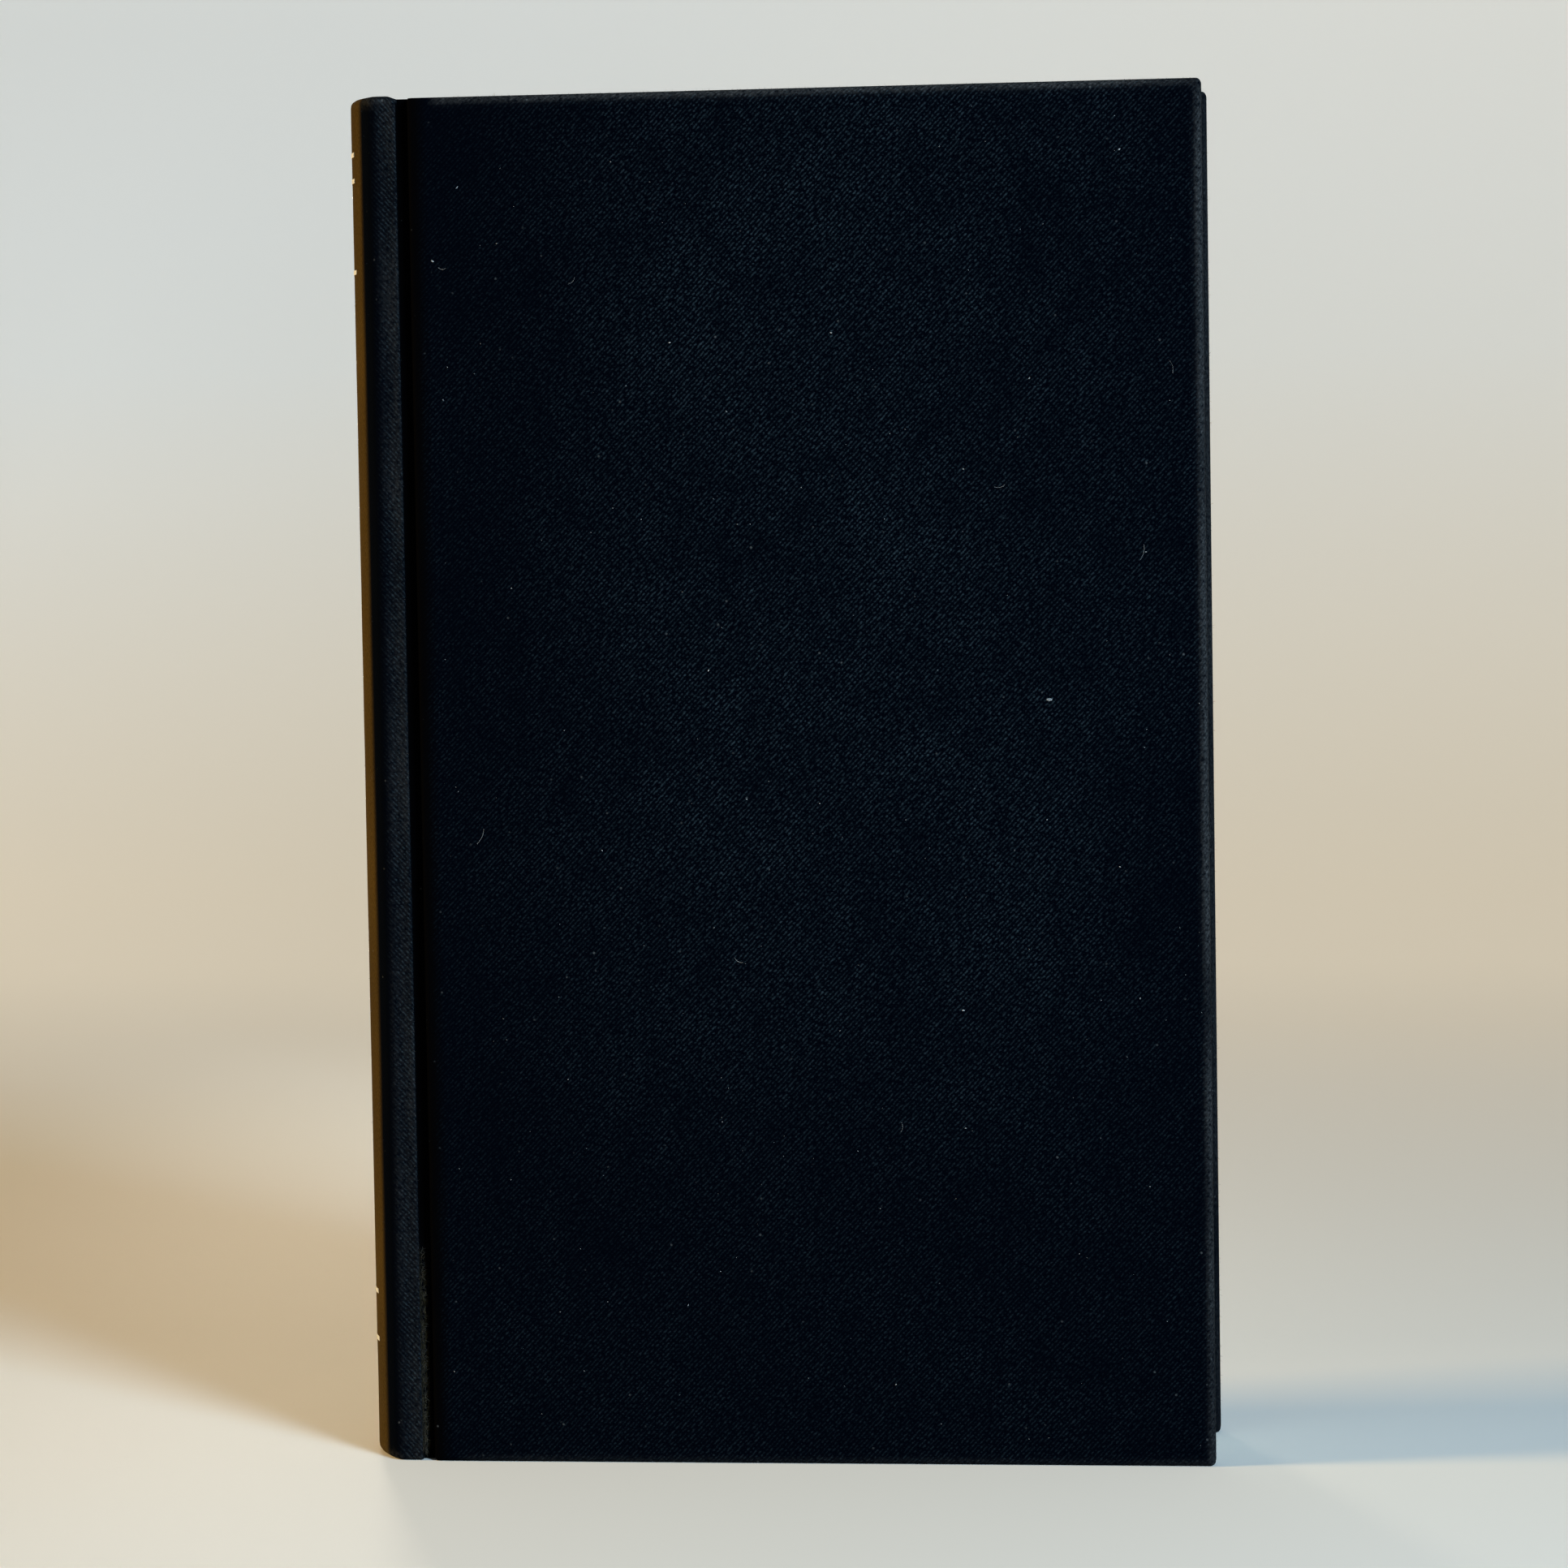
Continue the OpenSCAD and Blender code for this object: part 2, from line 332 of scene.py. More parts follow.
paperLook = {
    "endpaper": (0.74, 0.69, 0.57),
    "lining": (0.50, 0.40, 0.27),
    "aging": (0.93, 0.86, 0.74),  # what age leaves of the red, green and blue
    "agedShare": 0.35,
    "specular": 0.25,
}


def makePaper(name, colour, fibre=0.08, rough=0.85):
    material, tree, shader = newMaterial(name)
    place = millimetres(tree)
    fibres = noiseAt(turned(place, 0, (1.6, 1, 0.5)), 1.3, 5, 0.7)
    tone = ramp(noiseAt(place, 0.03, 3), 0.35, 0.7)
    darker = tuple(c * (1 - fibre * 2) for c in colour)
    lighter = tuple(min(1, c * (1 + fibre)) for c in colour)
    mixed = blendColour(ramp(fibres, 0.3, 0.7), darker, lighter)
    aged = tuple(c * kept for c, kept in zip(colour, paperLook["aging"]))
    mixed = blendColour(times(tone, paperLook["agedShare"]), mixed, aged)
    paint(shader, mixed, rough, paperLook["specular"])
    bumpFrom(shader, fibres, 0.25, 0.03)
    return material


edgeLook = {
    "dark": (0.50, 0.42, 0.29),
    "light": (0.78, 0.71, 0.56),
    "gathering": (0.62, 0.54, 0.40),
    "dirt": (0.42, 0.35, 0.24),
}


def makePageEdges():
    material, tree, shader = newMaterial("pageEdges")
    place = millimetres(tree)
    # every leaf has its own tone, and every gathering too
    leaves = noiseAt(turned(place, 0, (0.012, 6.5, 0.012)), 1.0, 2, 0.8)
    gatherings = ramp(noiseAt(turned(place, 0, (0.004, 0.62, 0.004)), 1.0, 1), 0.4, 0.62)
    dirt = ramp(noiseAt(place, 0.06, 4), 0.5, 0.75)
    colour = blendColour(ramp(leaves, 0.3, 0.7), edgeLook["dark"], edgeLook["light"])
    colour = blendColour(times(gatherings, 0.35), colour, edgeLook["gathering"])
    colour = blendColour(times(dirt, 0.3), colour, edgeLook["dirt"])
    paint(shader, colour, 0.8, paperLook["specular"])
    bumpFrom(shader, leaves, 0.35, 0.05)
    return material


boardLook = {"dark": (0.22, 0.205, 0.18), "light": (0.40, 0.385, 0.35), "fleck": (0.12, 0.11, 0.10)}


def makeBoardGrey():
    material, tree, shader = newMaterial("greyBoard")
    place = millimetres(tree)
    pulp = noiseAt(place, 2.2, 5, 0.75)
    flecks = noiseAt(turned(place, 30, (0.8, 2.5, 1.4)), 1.1, 2)
    colour = blendColour(ramp(pulp, 0.3, 0.7), boardLook["dark"], boardLook["light"])
    colour = blendColour(ramp(flecks, 0.68, 0.74), colour, boardLook["fleck"])
    paint(shader, colour, 0.92)
    bumpFrom(shader, pulp, 0.4, 0.08)
    return material


threadLook = {
    "gauzePitch": 0.8, "gauzeGap": (0.36, 0.29, 0.19), "gauze": (0.70, 0.66, 0.56),
    "bandPitch": 0.16, "bandDark": (0.40, 0.36, 0.28), "band": (0.72, 0.67, 0.55), "bandSoiled": (0.50, 0.44, 0.33),
}


def makeGauze():
    material, tree, shader = newMaterial("openGauze")
    flat = millimetres(tree, "UV")
    warp = waves(flat, threadLook["gauzePitch"], 0.4)
    weft = waves(flat, threadLook["gauzePitch"], 0.4, direction="Y")
    net = calc("MAXIMUM", warp, weft)
    colour = blendColour(ramp(net, 0.62, 0.86), threadLook["gauzeGap"], threadLook["gauze"])
    paint(shader, colour, 0.9)
    bumpFrom(shader, net, 0.8, 0.12)
    return material


def makeBandThread():
    material, tree, shader = newMaterial("bandThread")
    flat = millimetres(tree, "UV")
    strands = waves(flat, threadLook["bandPitch"], 0.6)
    soil = noiseAt(flat, 0.8, 2)
    colour = blendColour(strands, threadLook["bandDark"], threadLook["band"])
    colour = blendColour(times(soil, 0.3), colour, threadLook["bandSoiled"])
    paint(shader, colour, 0.7)
    bumpFrom(shader, strands, 0.5, 0.05)
    shader.inputs["Sheen Weight"].default_value = 0.2
    return material


foilLook = {"foil": (0.56, 0.55, 0.50), "rubbedOff": (0.02, 0.025, 0.03), "smooth": 0.38, "dull": 0.75}


def makeFoil():
    material, tree, shader = newMaterial("whiteFoil")
    rubbed = noiseAt(millimetres(tree), 1.8, 4, 0.7)
    colour = blendColour(ramp(rubbed, 0.55, 0.66), foilLook["foil"], foilLook["rubbedOff"])
    paint(shader, colour)
    dulled = addNode(tree, "MapRange", {"Value": ramp(rubbed, 0.3, 0.7),
                                        "To Min": foilLook["smooth"], "To Max": foilLook["dull"]})
    tree.links.new(dulled.outputs[0], shader.inputs["Roughness"])
    bumpFrom(shader, rubbed, 0.4, 0.03)
    return material


def makeFibre(name, dark, light, scale=0.8, rough=0.9):
    # loose threads and dust, each with a tone of its own
    material, tree, shader = newMaterial(name)
    tone = noiseAt(millimetres(tree), scale, 2)
    paint(shader, blendColour(ramp(tone, 0.35, 0.65), dark, light), rough)
    return material


twill = makeCloth()
endpaper = makePaper("endpaperCream", paperLook["endpaper"])
pageEdges = makePageEdges()
liningPaper = makePaper("liningBrown", paperLook["lining"], 0.14, 0.9)
greyBoard = makeBoardGrey()
gauze = makeGauze()
bandThread = makeBandThread()
foil = makeFoil()
lint = makeFibre("paleLint", (0.10, 0.115, 0.12), (0.34, 0.34, 0.32), 0.5, 0.95)
fuzz = makeFibre("blackFuzz", (0.006, 0.008, 0.011), (0.040, 0.042, 0.044))
brownThread = makeFibre("brownThread", (0.005, 0.004, 0.002), (0.036, 0.028, 0.013))
print("materials made")


# camera and stage

cameraView = {
    "yaw": -6.7222, "pitch": 3.4886, "roll": -0.9356,  # degrees
    "place": (88.25, -750.41, 149.84),  # mm
    "focal": 6000, "frame": 1932,  # pixels of the photograph
    "sensor": 36,
}

yaw, pitch, roll = (math.radians(cameraView[k]) for k in ("yaw", "pitch", "roll"))
ahead = Vector((math.sin(yaw) * math.cos(pitch), math.cos(yaw) * math.cos(pitch), -math.sin(pitch)))
level = Vector((math.cos(yaw), -math.sin(yaw), 0))
upright = level.cross(ahead)
right = math.cos(roll) * level + math.sin(roll) * upright
up = math.cos(roll) * upright - math.sin(roll) * level
eye = Vector(cameraView["place"])
cameraData = bpy.data.cameras.new("photoCamera")
cameraData.sensor_width = cameraView["sensor"]
cameraData.lens = cameraView["sensor"] * cameraView["focal"] / cameraView["frame"]
camera = bpy.data.objects.new("photoCamera", cameraData)
camera.matrix_world = Matrix.Translation(eye * mm) @ Matrix((right, up, -ahead)).transposed().to_4x4()
bpy.context.scene.collection.objects.link(camera)
bpy.context.scene.camera = camera

# metres, and strengths of what the camera sees beyond the lamps' light
stageLook = {
    "floor": (0.70, 0.675, 0.615),
    # painted shade: the floor from a little in front of the book onwards is coloured darker and warmer
    "floorFrontShade": (0.55, 0.485, 0.42),
    # painted warm light: the lower wall is coloured warmer
    "low": (0.80, 0.745, 0.63),
    "high": (0.80, 0.79, 0.73),
    "glowLow": (0.85, 0.66, 0.42),
    "glowHigh": (0.82, 0.79, 0.72),
    "glowBehind": 0.36, "glowAbove": 0.22, "glowOutside": 0.70, "glowLeft": 0.12,
    "width": 7.0, "front": -3.2, "wallAt": 1.5, "bend": 0.9, "height": 2.6, "bendSteps": 16,
}


def seenRays(tree):
    # the rays that show the surroundings, straight or in a gloss
    rays = addNode(tree, "LightPath").outputs
    both = calc("MAXIMUM", rays["Is Camera Ray"], rays["Is Glossy Ray"])
    return calc("MAXIMUM", both, rays["Is Transmission Ray"])


def stageGlow(tree, coords, x, y, z):
    # painted light: away from the book the sweep glows a little brighter than the lamps make it, in a warmer colour
    # low down and more on the left
    behind = plus(times(ramp(y, 0.1, 0.7), stageLook["glowBehind"]),
                  times(ramp(z, 0.04, 0.5), stageLook["glowAbove"]))
    left = times(ramp(x, -0.22, -0.42), ramp(z, 0.35, 0.15))
    left = times(left, ramp(y, 0.3, 0.8))
    behind = plus(behind, times(left, stageLook["glowLeft"]))
    away = addNode(tree, "VectorMath", {0: coords}, operation="LENGTH").outputs["Value"]
    aside = ramp(calc("ABSOLUTE", x), 0.75, 1.25)
    outer = calc("MAXIMUM", aside, ramp(y, 0.5, 0.1))
    outer = times(times(outer, ramp(away, 0.75, 1.3)), stageLook["glowOutside"])
    return times(seenRays(tree), calc("MAXIMUM", behind, outer))


def makeStageMaterial():
    material, tree, shader = newMaterial("paleSweep")
    coords = addNode(tree, "TexCoord").outputs["Object"]
    x, y, z = addNode(tree, "SeparateXYZ", {"Vector": coords}).outputs
    # painted warm light: the wall is coloured warmer low down
    wall = blendColour(ramp(z, 0.03, 0.26), stageLook["low"], stageLook["high"])
    # painted shade: the floor is coloured darker from a little in front of the book onwards
    floor = blendColour(ramp(y, -0.14, -0.42), stageLook["floor"], stageLook["floorFrontShade"])
    paint(shader, blendColour(ramp(y, 0.45, 1.0), floor, wall), 0.75, 0.2)
    glow = blendColour(ramp(z, 0.02, 0.20), stageLook["glowLow"], stageLook["glowHigh"])
    tree.links.new(glow, shader.inputs["Emission Color"])
    tree.links.new(stageGlow(tree, coords, x, y, z), shader.inputs["Emission Strength"])
    return material


def makeStage():
    # the section of the sweep: floor, bend and wall
    bend, wallAt, steps = stageLook["bend"], stageLook["wallAt"], stageLook["bendSteps"]
    line = [(stageLook["front"], 0)]
    for k in range(steps + 1):
        a = math.pi / 2 * k / steps
        line.append((wallAt - bend * (1 - math.sin(a)), bend * (1 - math.cos(a))))
    line.append((wallAt, stageLook["height"]))
    bm = bmesh.new()
    verts = [bm.verts.new((-stageLook["width"] / 2, y, z)) for y, z in line]
    edges = [bm.edges.new(pair) for pair in zip(verts, verts[1:])]
    made = bmesh.ops.extrude_edge_only(bm, edges=edges)
    moved = [v for v in made["geom"] if isinstance(v, bmesh.types.BMVert)]
    bmesh.ops.translate(bm, verts=moved, vec=(stageLook["width"], 0, 0))
    bm.normal_update()
    if sum(f.normal.z for f in bm.faces) < 0:
        bmesh.ops.reverse_faces(bm, faces=bm.faces[:])
    sweep = linkMesh("paleSweep", bm, makeStageMaterial())


# places and sizes in metres, spread in degrees
lampSetup = {
    "warmLamp": {"place": (-1.10, -0.24, 0.42), "aim": (0, 0, 0.08), "size": 0.26, "spread": 100,
                 "power": 4.7, "colour": (1.0, 0.69, 0.30)},
    "coolLamp": {"place": (0.72, -0.90, 0.54), "aim": (0, 0, 0.10), "size": 0.30, "spread": 100,
                 "power": 7.2, "colour": (0.54, 0.77, 1.0)},
    "rearLamp": {"place": (-0.30, 0.95, 0.175), "aim": (0, 0, 0.12), "size": 0.12, "spread": 28,
                 "power": 0.15, "colour": (1.0, 0.90, 0.72)},
}
roomLook = {"light": (0.92, 0.96, 1.0), "strength": 0.13, "seen": (0.72, 0.71, 0.67), "seenStrength": 0.9}


def makeLamps():
    for name, lamp in lampSetup.items():
        data = bpy.data.lights.new(name, "AREA")
        data.size = lamp["size"]
        data.energy = lamp["power"]
        data.color = lamp["colour"]
        data.spread = math.radians(lamp["spread"])
        made = bpy.data.objects.new(name, data)
        made.visible_camera = False
        made.location = lamp["place"]
        away = Vector(lamp["place"]) - Vector(lamp["aim"])
        made.rotation_euler = away.to_track_quat("Z", "Y").to_euler()
        bpy.context.scene.collection.objects.link(made)


def makeRoom():
    world = bpy.data.worlds.new("softRoom")
    bpy.context.scene.world = world
    world.use_nodes = True
    tree = world.node_tree
    room = tree.nodes["Background"]
    room.inputs["Color"].default_value = (*roomLook["light"], 1)
    room.inputs["Strength"].default_value = roomLook["strength"]
    view = addNode(tree, "Background", {"Color": (*roomLook["seen"], 1), "Strength": roomLook["seenStrength"]})
    mixed = addNode(tree, "MixShader", {0: seenRays(tree), 1: room.outputs[0], 2: view.outputs[0]})
    tree.links.new(mixed.outputs[0], tree.nodes["World Output"].inputs["Surface"])


makeStage()
makeLamps()
makeRoom()
bpy.context.scene.view_settings.view_transform = "Standard"
print("camera, stage and lamps set")


# book cloth

coverForm = {
    "edge": 0.8,  # radius of the wrapped board edges
    "turnIn": 15.0,  # width of the turned-in cloth
    "cloth": 0.38,  # thickness of the cloth
    "inside": 3.4,  # depth of the turned-in cloth on the board
    "floor": 2.2,  # depth of the groove
    "jointInside": 3.0,  # depth of the turned-in cloth in the groove
    "insets": (0.8, 2.0, 3.4, 6.0, 10.5, 15.0),
    "outsets": (0, 0.5, 1.2, 2.4, 5.0, 9.0),
    "step": 5.0,  # from station to station away from the edges
    "mitreRun": 21,  # how far from a corner the mitre draws the turned-in cloth back
    "headFold": 2.5,  # cloth taken up by the fold at head and tail
}
foldCut = 0.4  # cloth from station to station round a fold
foldSteps = 10


def foldStations(thick, radius):
    # from the outer face over the end to the inner face: (depth below the outer face, drop below the end)
    outer = min(radius, 0.66 * thick)
    inner = min(0.6 * radius, thick - outer - 0.01)
    turns = [math.pi / 8 * k for k in range(5)]
    path = [(outer * (1 - math.cos(a)), outer * (1 - math.sin(a))) for a in turns[1:]]
    return path + [(thick - inner + inner * math.sin(a), inner * (1 - math.cos(a))) for a in turns]


def spread(low, high, ends, step):
    # stations from low to high, close together at both ends
    near = [low + e for e in ends]
    far = [high - e for e in reversed(ends)]
    count = max(2, round((far[0] - near[-1]) / step))
    middle = [near[-1] + (far[0] - near[-1]) * k / count for k in range(1, count)]
    return near + middle + far


def wrapRows(radius):
    # the rows of a wrapped sheet from the turned-in end at the tail to the one at the head
    outer = spread(radius, tall - radius, coverForm["outsets"], coverForm["step"])
    insets = coverForm["insets"]
    rows = [("tailIn", t) for t in reversed(insets)] + [("tailFold", k) for k in range(8, -1, -1)]
    rows += [("out", z) for z in outer]
    rows += [("headFold", k) for k in range(9)] + [("headIn", t) for t in insets]
    return rows, outer


def wrapPoint(row, column, radius):
    # where a row meets a column, which is (outer point, inner point) in plan; and how far along the cut that is
    outer, inner = Vector(column[0]), Vector(column[1])
    thick = (inner - outer).length
    kind, value = row
    if kind == "out":
        return (outer.x, outer.y, value), value
    path = foldStations(thick, radius)
    head = kind.startswith("head")
    if kind.endswith("Fold"):
        depth, drop = path[value]
        along = tall - radius + foldCut * (value + 1)
    else:
        depth, drop = thick, value
        along = tall - radius + foldCut * foldSteps + value
    spot = outer.lerp(inner, depth / thick)
    z = tall - drop if head else drop
    return (spot.x, spot.y, z), (along if head else tall - along)


def coverColumns():
    # plan of a cover's cloth from the groove to the fore edge: (x, outer depth, inner depth)
    edge, floor, within = coverForm["edge"], coverForm["floor"], coverForm["jointInside"]
    points = [(crestX - 0.12, floor, 2.8)]
    points += [(crestX + 0.1 + x, floor, within) for x in (-0.02, 0.2, 0.42, 0.64, 0.86, 1.08)]
    # up the board's flank with a small bend at its foot
    foot, bend = coverX - 0.55, 0.4
    for k in range(1, 5):
        a = math.pi / 8 * k
        points.append((foot + bend * math.sin(a), floor - bend + bend * math.cos(a), 0))
    points += [(coverX - 0.11, 1.5, 0), (coverX - 0.06, 1.15, 0)]
    top = coverX - 0.02
    for k in range(6):
        a = math.pi / 10 * k
        points.append((top + edge * (1 - math.cos(a)), edge * (1 - math.sin(a)), 0))
    onBoard = spread(top + edge, foreX - edge, coverForm["outsets"], coverForm["step"])
    points += [(x, 0, 0) for x in onBoard[1:]]
    step = coverForm["inside"] - within
    return [(x, depth, inside or within + step * smooth(coverX - 0.5, coverX + 0.7, x))
            for x, depth, inside in points]


def mitre(value, start, shortened, full):
    # draws the last stretch of a turned-in strip back to the mitred corner
    if value <= start:
        return value
    return start + (value - start) * (shortened - start) / (full - start)


wearForm = {
    "edge": (0.25, 1.5),  # mm from an edge over which its rubbing fades
    "corner": (0.6, 2.6),
    "cornerShare": 0.8, "tailShare": 0.2,
    "foreLow": 0.6, "foreMore": 0.55, "foreHeights": (20, 90),
    "innerDepth": 2.9, "innerShare": 0.4,
    "groove": (0.8, 3.2),  # mm onto the board where the painted shade of the groove ends
}


def wearOfCover(co, side):
    x, z = co.x, co.z
    depth = halfThick - abs(co.y)
    # painted shade in the groove and on the board's edge beside it, as values below zero
    if x < coverX + wearForm["groove"][1] and depth < wearForm["innerDepth"]:
        return -1 + smooth(*wearForm["groove"], x - coverX)
    # the head and the fore edge are rubbed and carry a painted highlight, the tail hardly
    headWear = 1 - smooth(*wearForm["edge"], tall - z)
    foreWear = 1 - smooth(*wearForm["edge"], foreX - x)
    foreWear *= wearForm["foreLow"] + wearForm["foreMore"] * smooth(*wearForm["foreHeights"], z)
    tailWear = wearForm["tailShare"] * (1 - smooth(*wearForm["edge"], z))
    corner = math.hypot(min(6, foreX - x), min(6, tall - z))
    cornerWear = wearForm["cornerShare"] * (1 - smooth(*wearForm["corner"], corner))
    wear = max(headWear, foreWear, tailWear, cornerWear)
    if depth > wearForm["innerDepth"]:
        wear *= wearForm["innerShare"]
    patchy = 0.7 + 0.9 * (noise.noise(Vector((x * 0.09, side * 9, z * 0.05))) + 0.25)
    return min(1, max(0, wear * patchy))


handledForm = {"least": 0.1, "base": 0.27, "litMiddle": 0.67, "foot": 0.25, "cornerLoss": 0.35, "drift": 0.12}


def handledOfCover(co, side):
    # painted light and shade: the middle and the upper part of a cover are lighter than its edges and foot, and darker
    # still near the upper corner beside the spine
    x, z = co.x, co.z
    across = smooth(coverX, coverX + 48, x) * smooth(foreX + 15, foreX - 35, x)
    upwards = handledForm["foot"] + (1 - handledForm["foot"]) * smooth(20, 105, z)
    corner = 1 - handledForm["cornerLoss"] * smooth(45, 10, math.hypot(x - coverX, tall - z))
    drift = handledForm["drift"] * noise.noise(Vector((x * 0.035, side * 3, z * 0.035)))
    litShare = handledForm["base"] + handledForm["litMiddle"] * across * upwards
    return max(handledForm["least"], litShare * corner + drift)


def frayOfCover(co, side):
    # the cloth is frayed to its brown threads at the lower end of the front groove, beside the spine
    if side < 0 or co.x < crestX - 0.3:
        return 0
    along = smooth(0.5, 3, co.z) * (1 - smooth(26, 36, co.z))
    return 0.9 * along * smooth(crestX + 1.25, crestX + 0.75, co.x)


def makeCoverCloth(cover, side):
    bm, uv = newSheet()
    edge = coverForm["edge"]
    insets = coverForm["insets"]
    columns = coverColumns()
    rows, outerRows = wrapRows(edge)
    corner = Vector((foreX - edge, 0, tall - edge))

    def yAt(depth):
        return -side * (halfThick - depth)

    fromFore = lengthsAlong([column[:2] for column in reversed(columns)])
    flatX = [columns[-1][0] - passed for passed in reversed(fromFore)]

    def mainPlace(i, j):
        x, depth, inside = columns[i]
        spot = wrapPoint(rows[j], ((x, depth), (x, inside)), edge)[0]
        kind, value = rows[j]
        px = spot[0]
        if kind.endswith("In"):
            px = mitre(px, foreX - coverForm["mitreRun"], foreX - value, foreX - edge)
        return (px, yAt(spot[1]), spot[2])

    def mainFlat(i, j):
        x, depth, inside = columns[i]
        return flatX[i], wrapPoint(rows[j], ((x, depth), (x, inside)), edge)[1]

    mainVerts = gridSheet(bm, len(columns), len(rows), mainPlace, mainFlat, uv)[0]

    # strip over the fore edge, from the outer face to its turned-in end
    stations = [(0, edge)] + foldStations(coverForm["inside"], edge) + [(coverForm["inside"], t) for t in insets]

    def forePlace(i, j):
        depth, drop = stations[i]
        z = outerRows[j]
        if i >= foldSteps:
            low = tall - coverForm["mitreRun"]
            z = mitre(z, low, tall - drop, tall - edge)
            z = tall - mitre(tall - z, low, tall - drop, tall - edge)
        return (foreX - drop, yAt(depth), z)

    def foreFlat(i, j):
        past = foldCut * i if i < foldSteps else foldCut * foldSteps + stations[i][1]
        return foreX - edge + past, outerRows[j]

    gridSheet(bm, len(stations), len(outerRows), forePlace, foreFlat, uv)

    # the two corners: the fold at the end of the main part swung round to the fore edge
    last = len(columns) - 1
    headStart = next(j for j, row in enumerate(rows) if row[0] == "headFold") - 1
    tailStart = next(j for j, row in enumerate(rows) if row[0] == "out")
    before = set(bm.faces)
    foldRows = foldSteps + 1
    headPath = range(headStart, headStart + foldRows)
    tailPath = range(tailStart, tailStart - foldRows, -1)
    for path, turn in ((headPath, 1), (tailPath, -1)):
        verts = [mainVerts[(last, j)] for j in path]
        edges = [bm.edges.get(pair) for pair in zip(verts, verts[1:])]
        middle = (corner.x, 0, corner.z if turn > 0 else tall - corner.z)
        bmesh.ops.spin(bm, geom=verts + edges, cent=middle, axis=(0, 1, 0), angle=turn * math.pi / 2, steps=5)
    for f in set(bm.faces) - before:
        for loop in f.loops:
            co = loop.vert.co
            loop[uv].uv = ((co.x + abs(abs(co.y) - halfThick)) / 100, co.z / 100)
    bmesh.ops.remove_doubles(bm, verts=bm.verts[:], dist=0.002)
    bmesh.ops.dissolve_degenerate(bm, edges=bm.edges[:], dist=0.0005)

    def isOuter(f):
        onFace = abs(f.calc_center_median().y) > halfThick - 0.1
        return -f.normal.y * side * f.calc_area() if onFace else 0

    markVerts(bm, wear=lambda co: wearOfCover(co, side), fray=lambda co: frayOfCover(co, side),
              handled=lambda co: handledOfCover(co, side))
    thicken(bm, isOuter, coverForm["cloth"])
    piece = linkPiece(cover + "Cloth", bm, twill)
    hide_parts(cover + "_cover_cloth", cover + "_joint_cloth")
    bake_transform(piece)


spineForm = {
    "crestRadius": 0.3,  # ridge beside the groove
    "cornerRadius": 2.0,  # between the arc and the flat shoulder
    "endRadius": 1.1,  # fold at head and tail
    "endFold": 1.0,  # cloth taken up by that fold
    "wrap": 1.5,  # from the outer face to the inner face of the turned-in cloth
    "cloth": 0.38,
    "sag": 0.10,  # of the shoulder between its two edges
    "swell": 0.035, "swellDrop": 0.02,
    "proud": 0.4,  # above the boards at the head
}


def spineColumns():
    # plan of the spine cloth from the front groove over both shoulders to the rear one: (outer, inner) pairs
    corner = spineForm["cornerRadius"]
    innerRadius = spineRadius - spineForm["wrap"]
    innerY = crestY - spineForm["wrap"]
    innerEnd = math.asin(innerY / innerRadius)
    innerX = spineMidX - innerRadius * math.cos(innerEnd)
    cornerX = spineMidX - math.sqrt((spineRadius - corner) ** 2 - (crestY - corner) ** 2)
    arcEnd = math.atan2(crestY - corner, spineMidX - cornerX)
    half = []
    for k in range(25):
        a, b = arcEnd * k / 24, innerEnd * k / 24
        half.append(((spineMidX - spineRadius * math.cos(a), spineRadius * math.sin(a)),
                     (spineMidX - innerRadius * math.cos(b), innerRadius * math.sin(b))))
    for k in range(1, 8):
        a = arcEnd + (math.pi / 2 - arcEnd) * k / 7
        half.append(((cornerX - corner * math.cos(a), crestY - corner + corner * math.sin(a)),
                     (innerX + (cornerX + 0.2 - innerX) * k / 7, innerY)))
    ridge = spineForm["crestRadius"]
    ridgeX = crestX - ridge
    for k in range(1, 7):
        x = cornerX + (ridgeX - cornerX) * k / 6
        sag = spineForm["sag"] * math.sin(math.pi * k / 6)
        half.append(((x, crestY - sag), (x + 0.2 - 0.45 * k / 6, innerY)))
    for k in range(1, 6):
        a = math.pi / 10 * k
        half.append(((ridgeX + ridge * math.sin(a), crestY - ridge + ridge * math.cos(a)),
                     (crestX - 0.55 + 0.15 * k / 5, innerY)))
    for depth in (1.0, 1.4, 1.8, 2.2, 2.5):
        half.append(((crestX, halfThick - depth), (crestX - 0.4, min(innerY, halfThick - depth))))
    front = [((a[0], -a[1]), (b[0], -b[1])) for a, b in reversed(half)]
    return front + half[1:]


spineWearAndPaintedLight = {
    "overall": 0.72,
    "ends": (0.3, 1.9), "endShare": 0.7,  # mm from head and tail
    "ridge": (0.1, 0.9), "ridgeShare": 0.5,  # mm from the crest beside the groove
    "flat": 0.26, "flatHigh": 0.06, "flatCrest": 0.14,
    "groove": 0.9,  # how dark the painted shade in the groove is
    "crownAt": (12.4, 10.8),  # where the painted warm light of the crown begins and is full
    "darkAt": 13.2,  # middle of the painted shade strip beside the shoulder
}


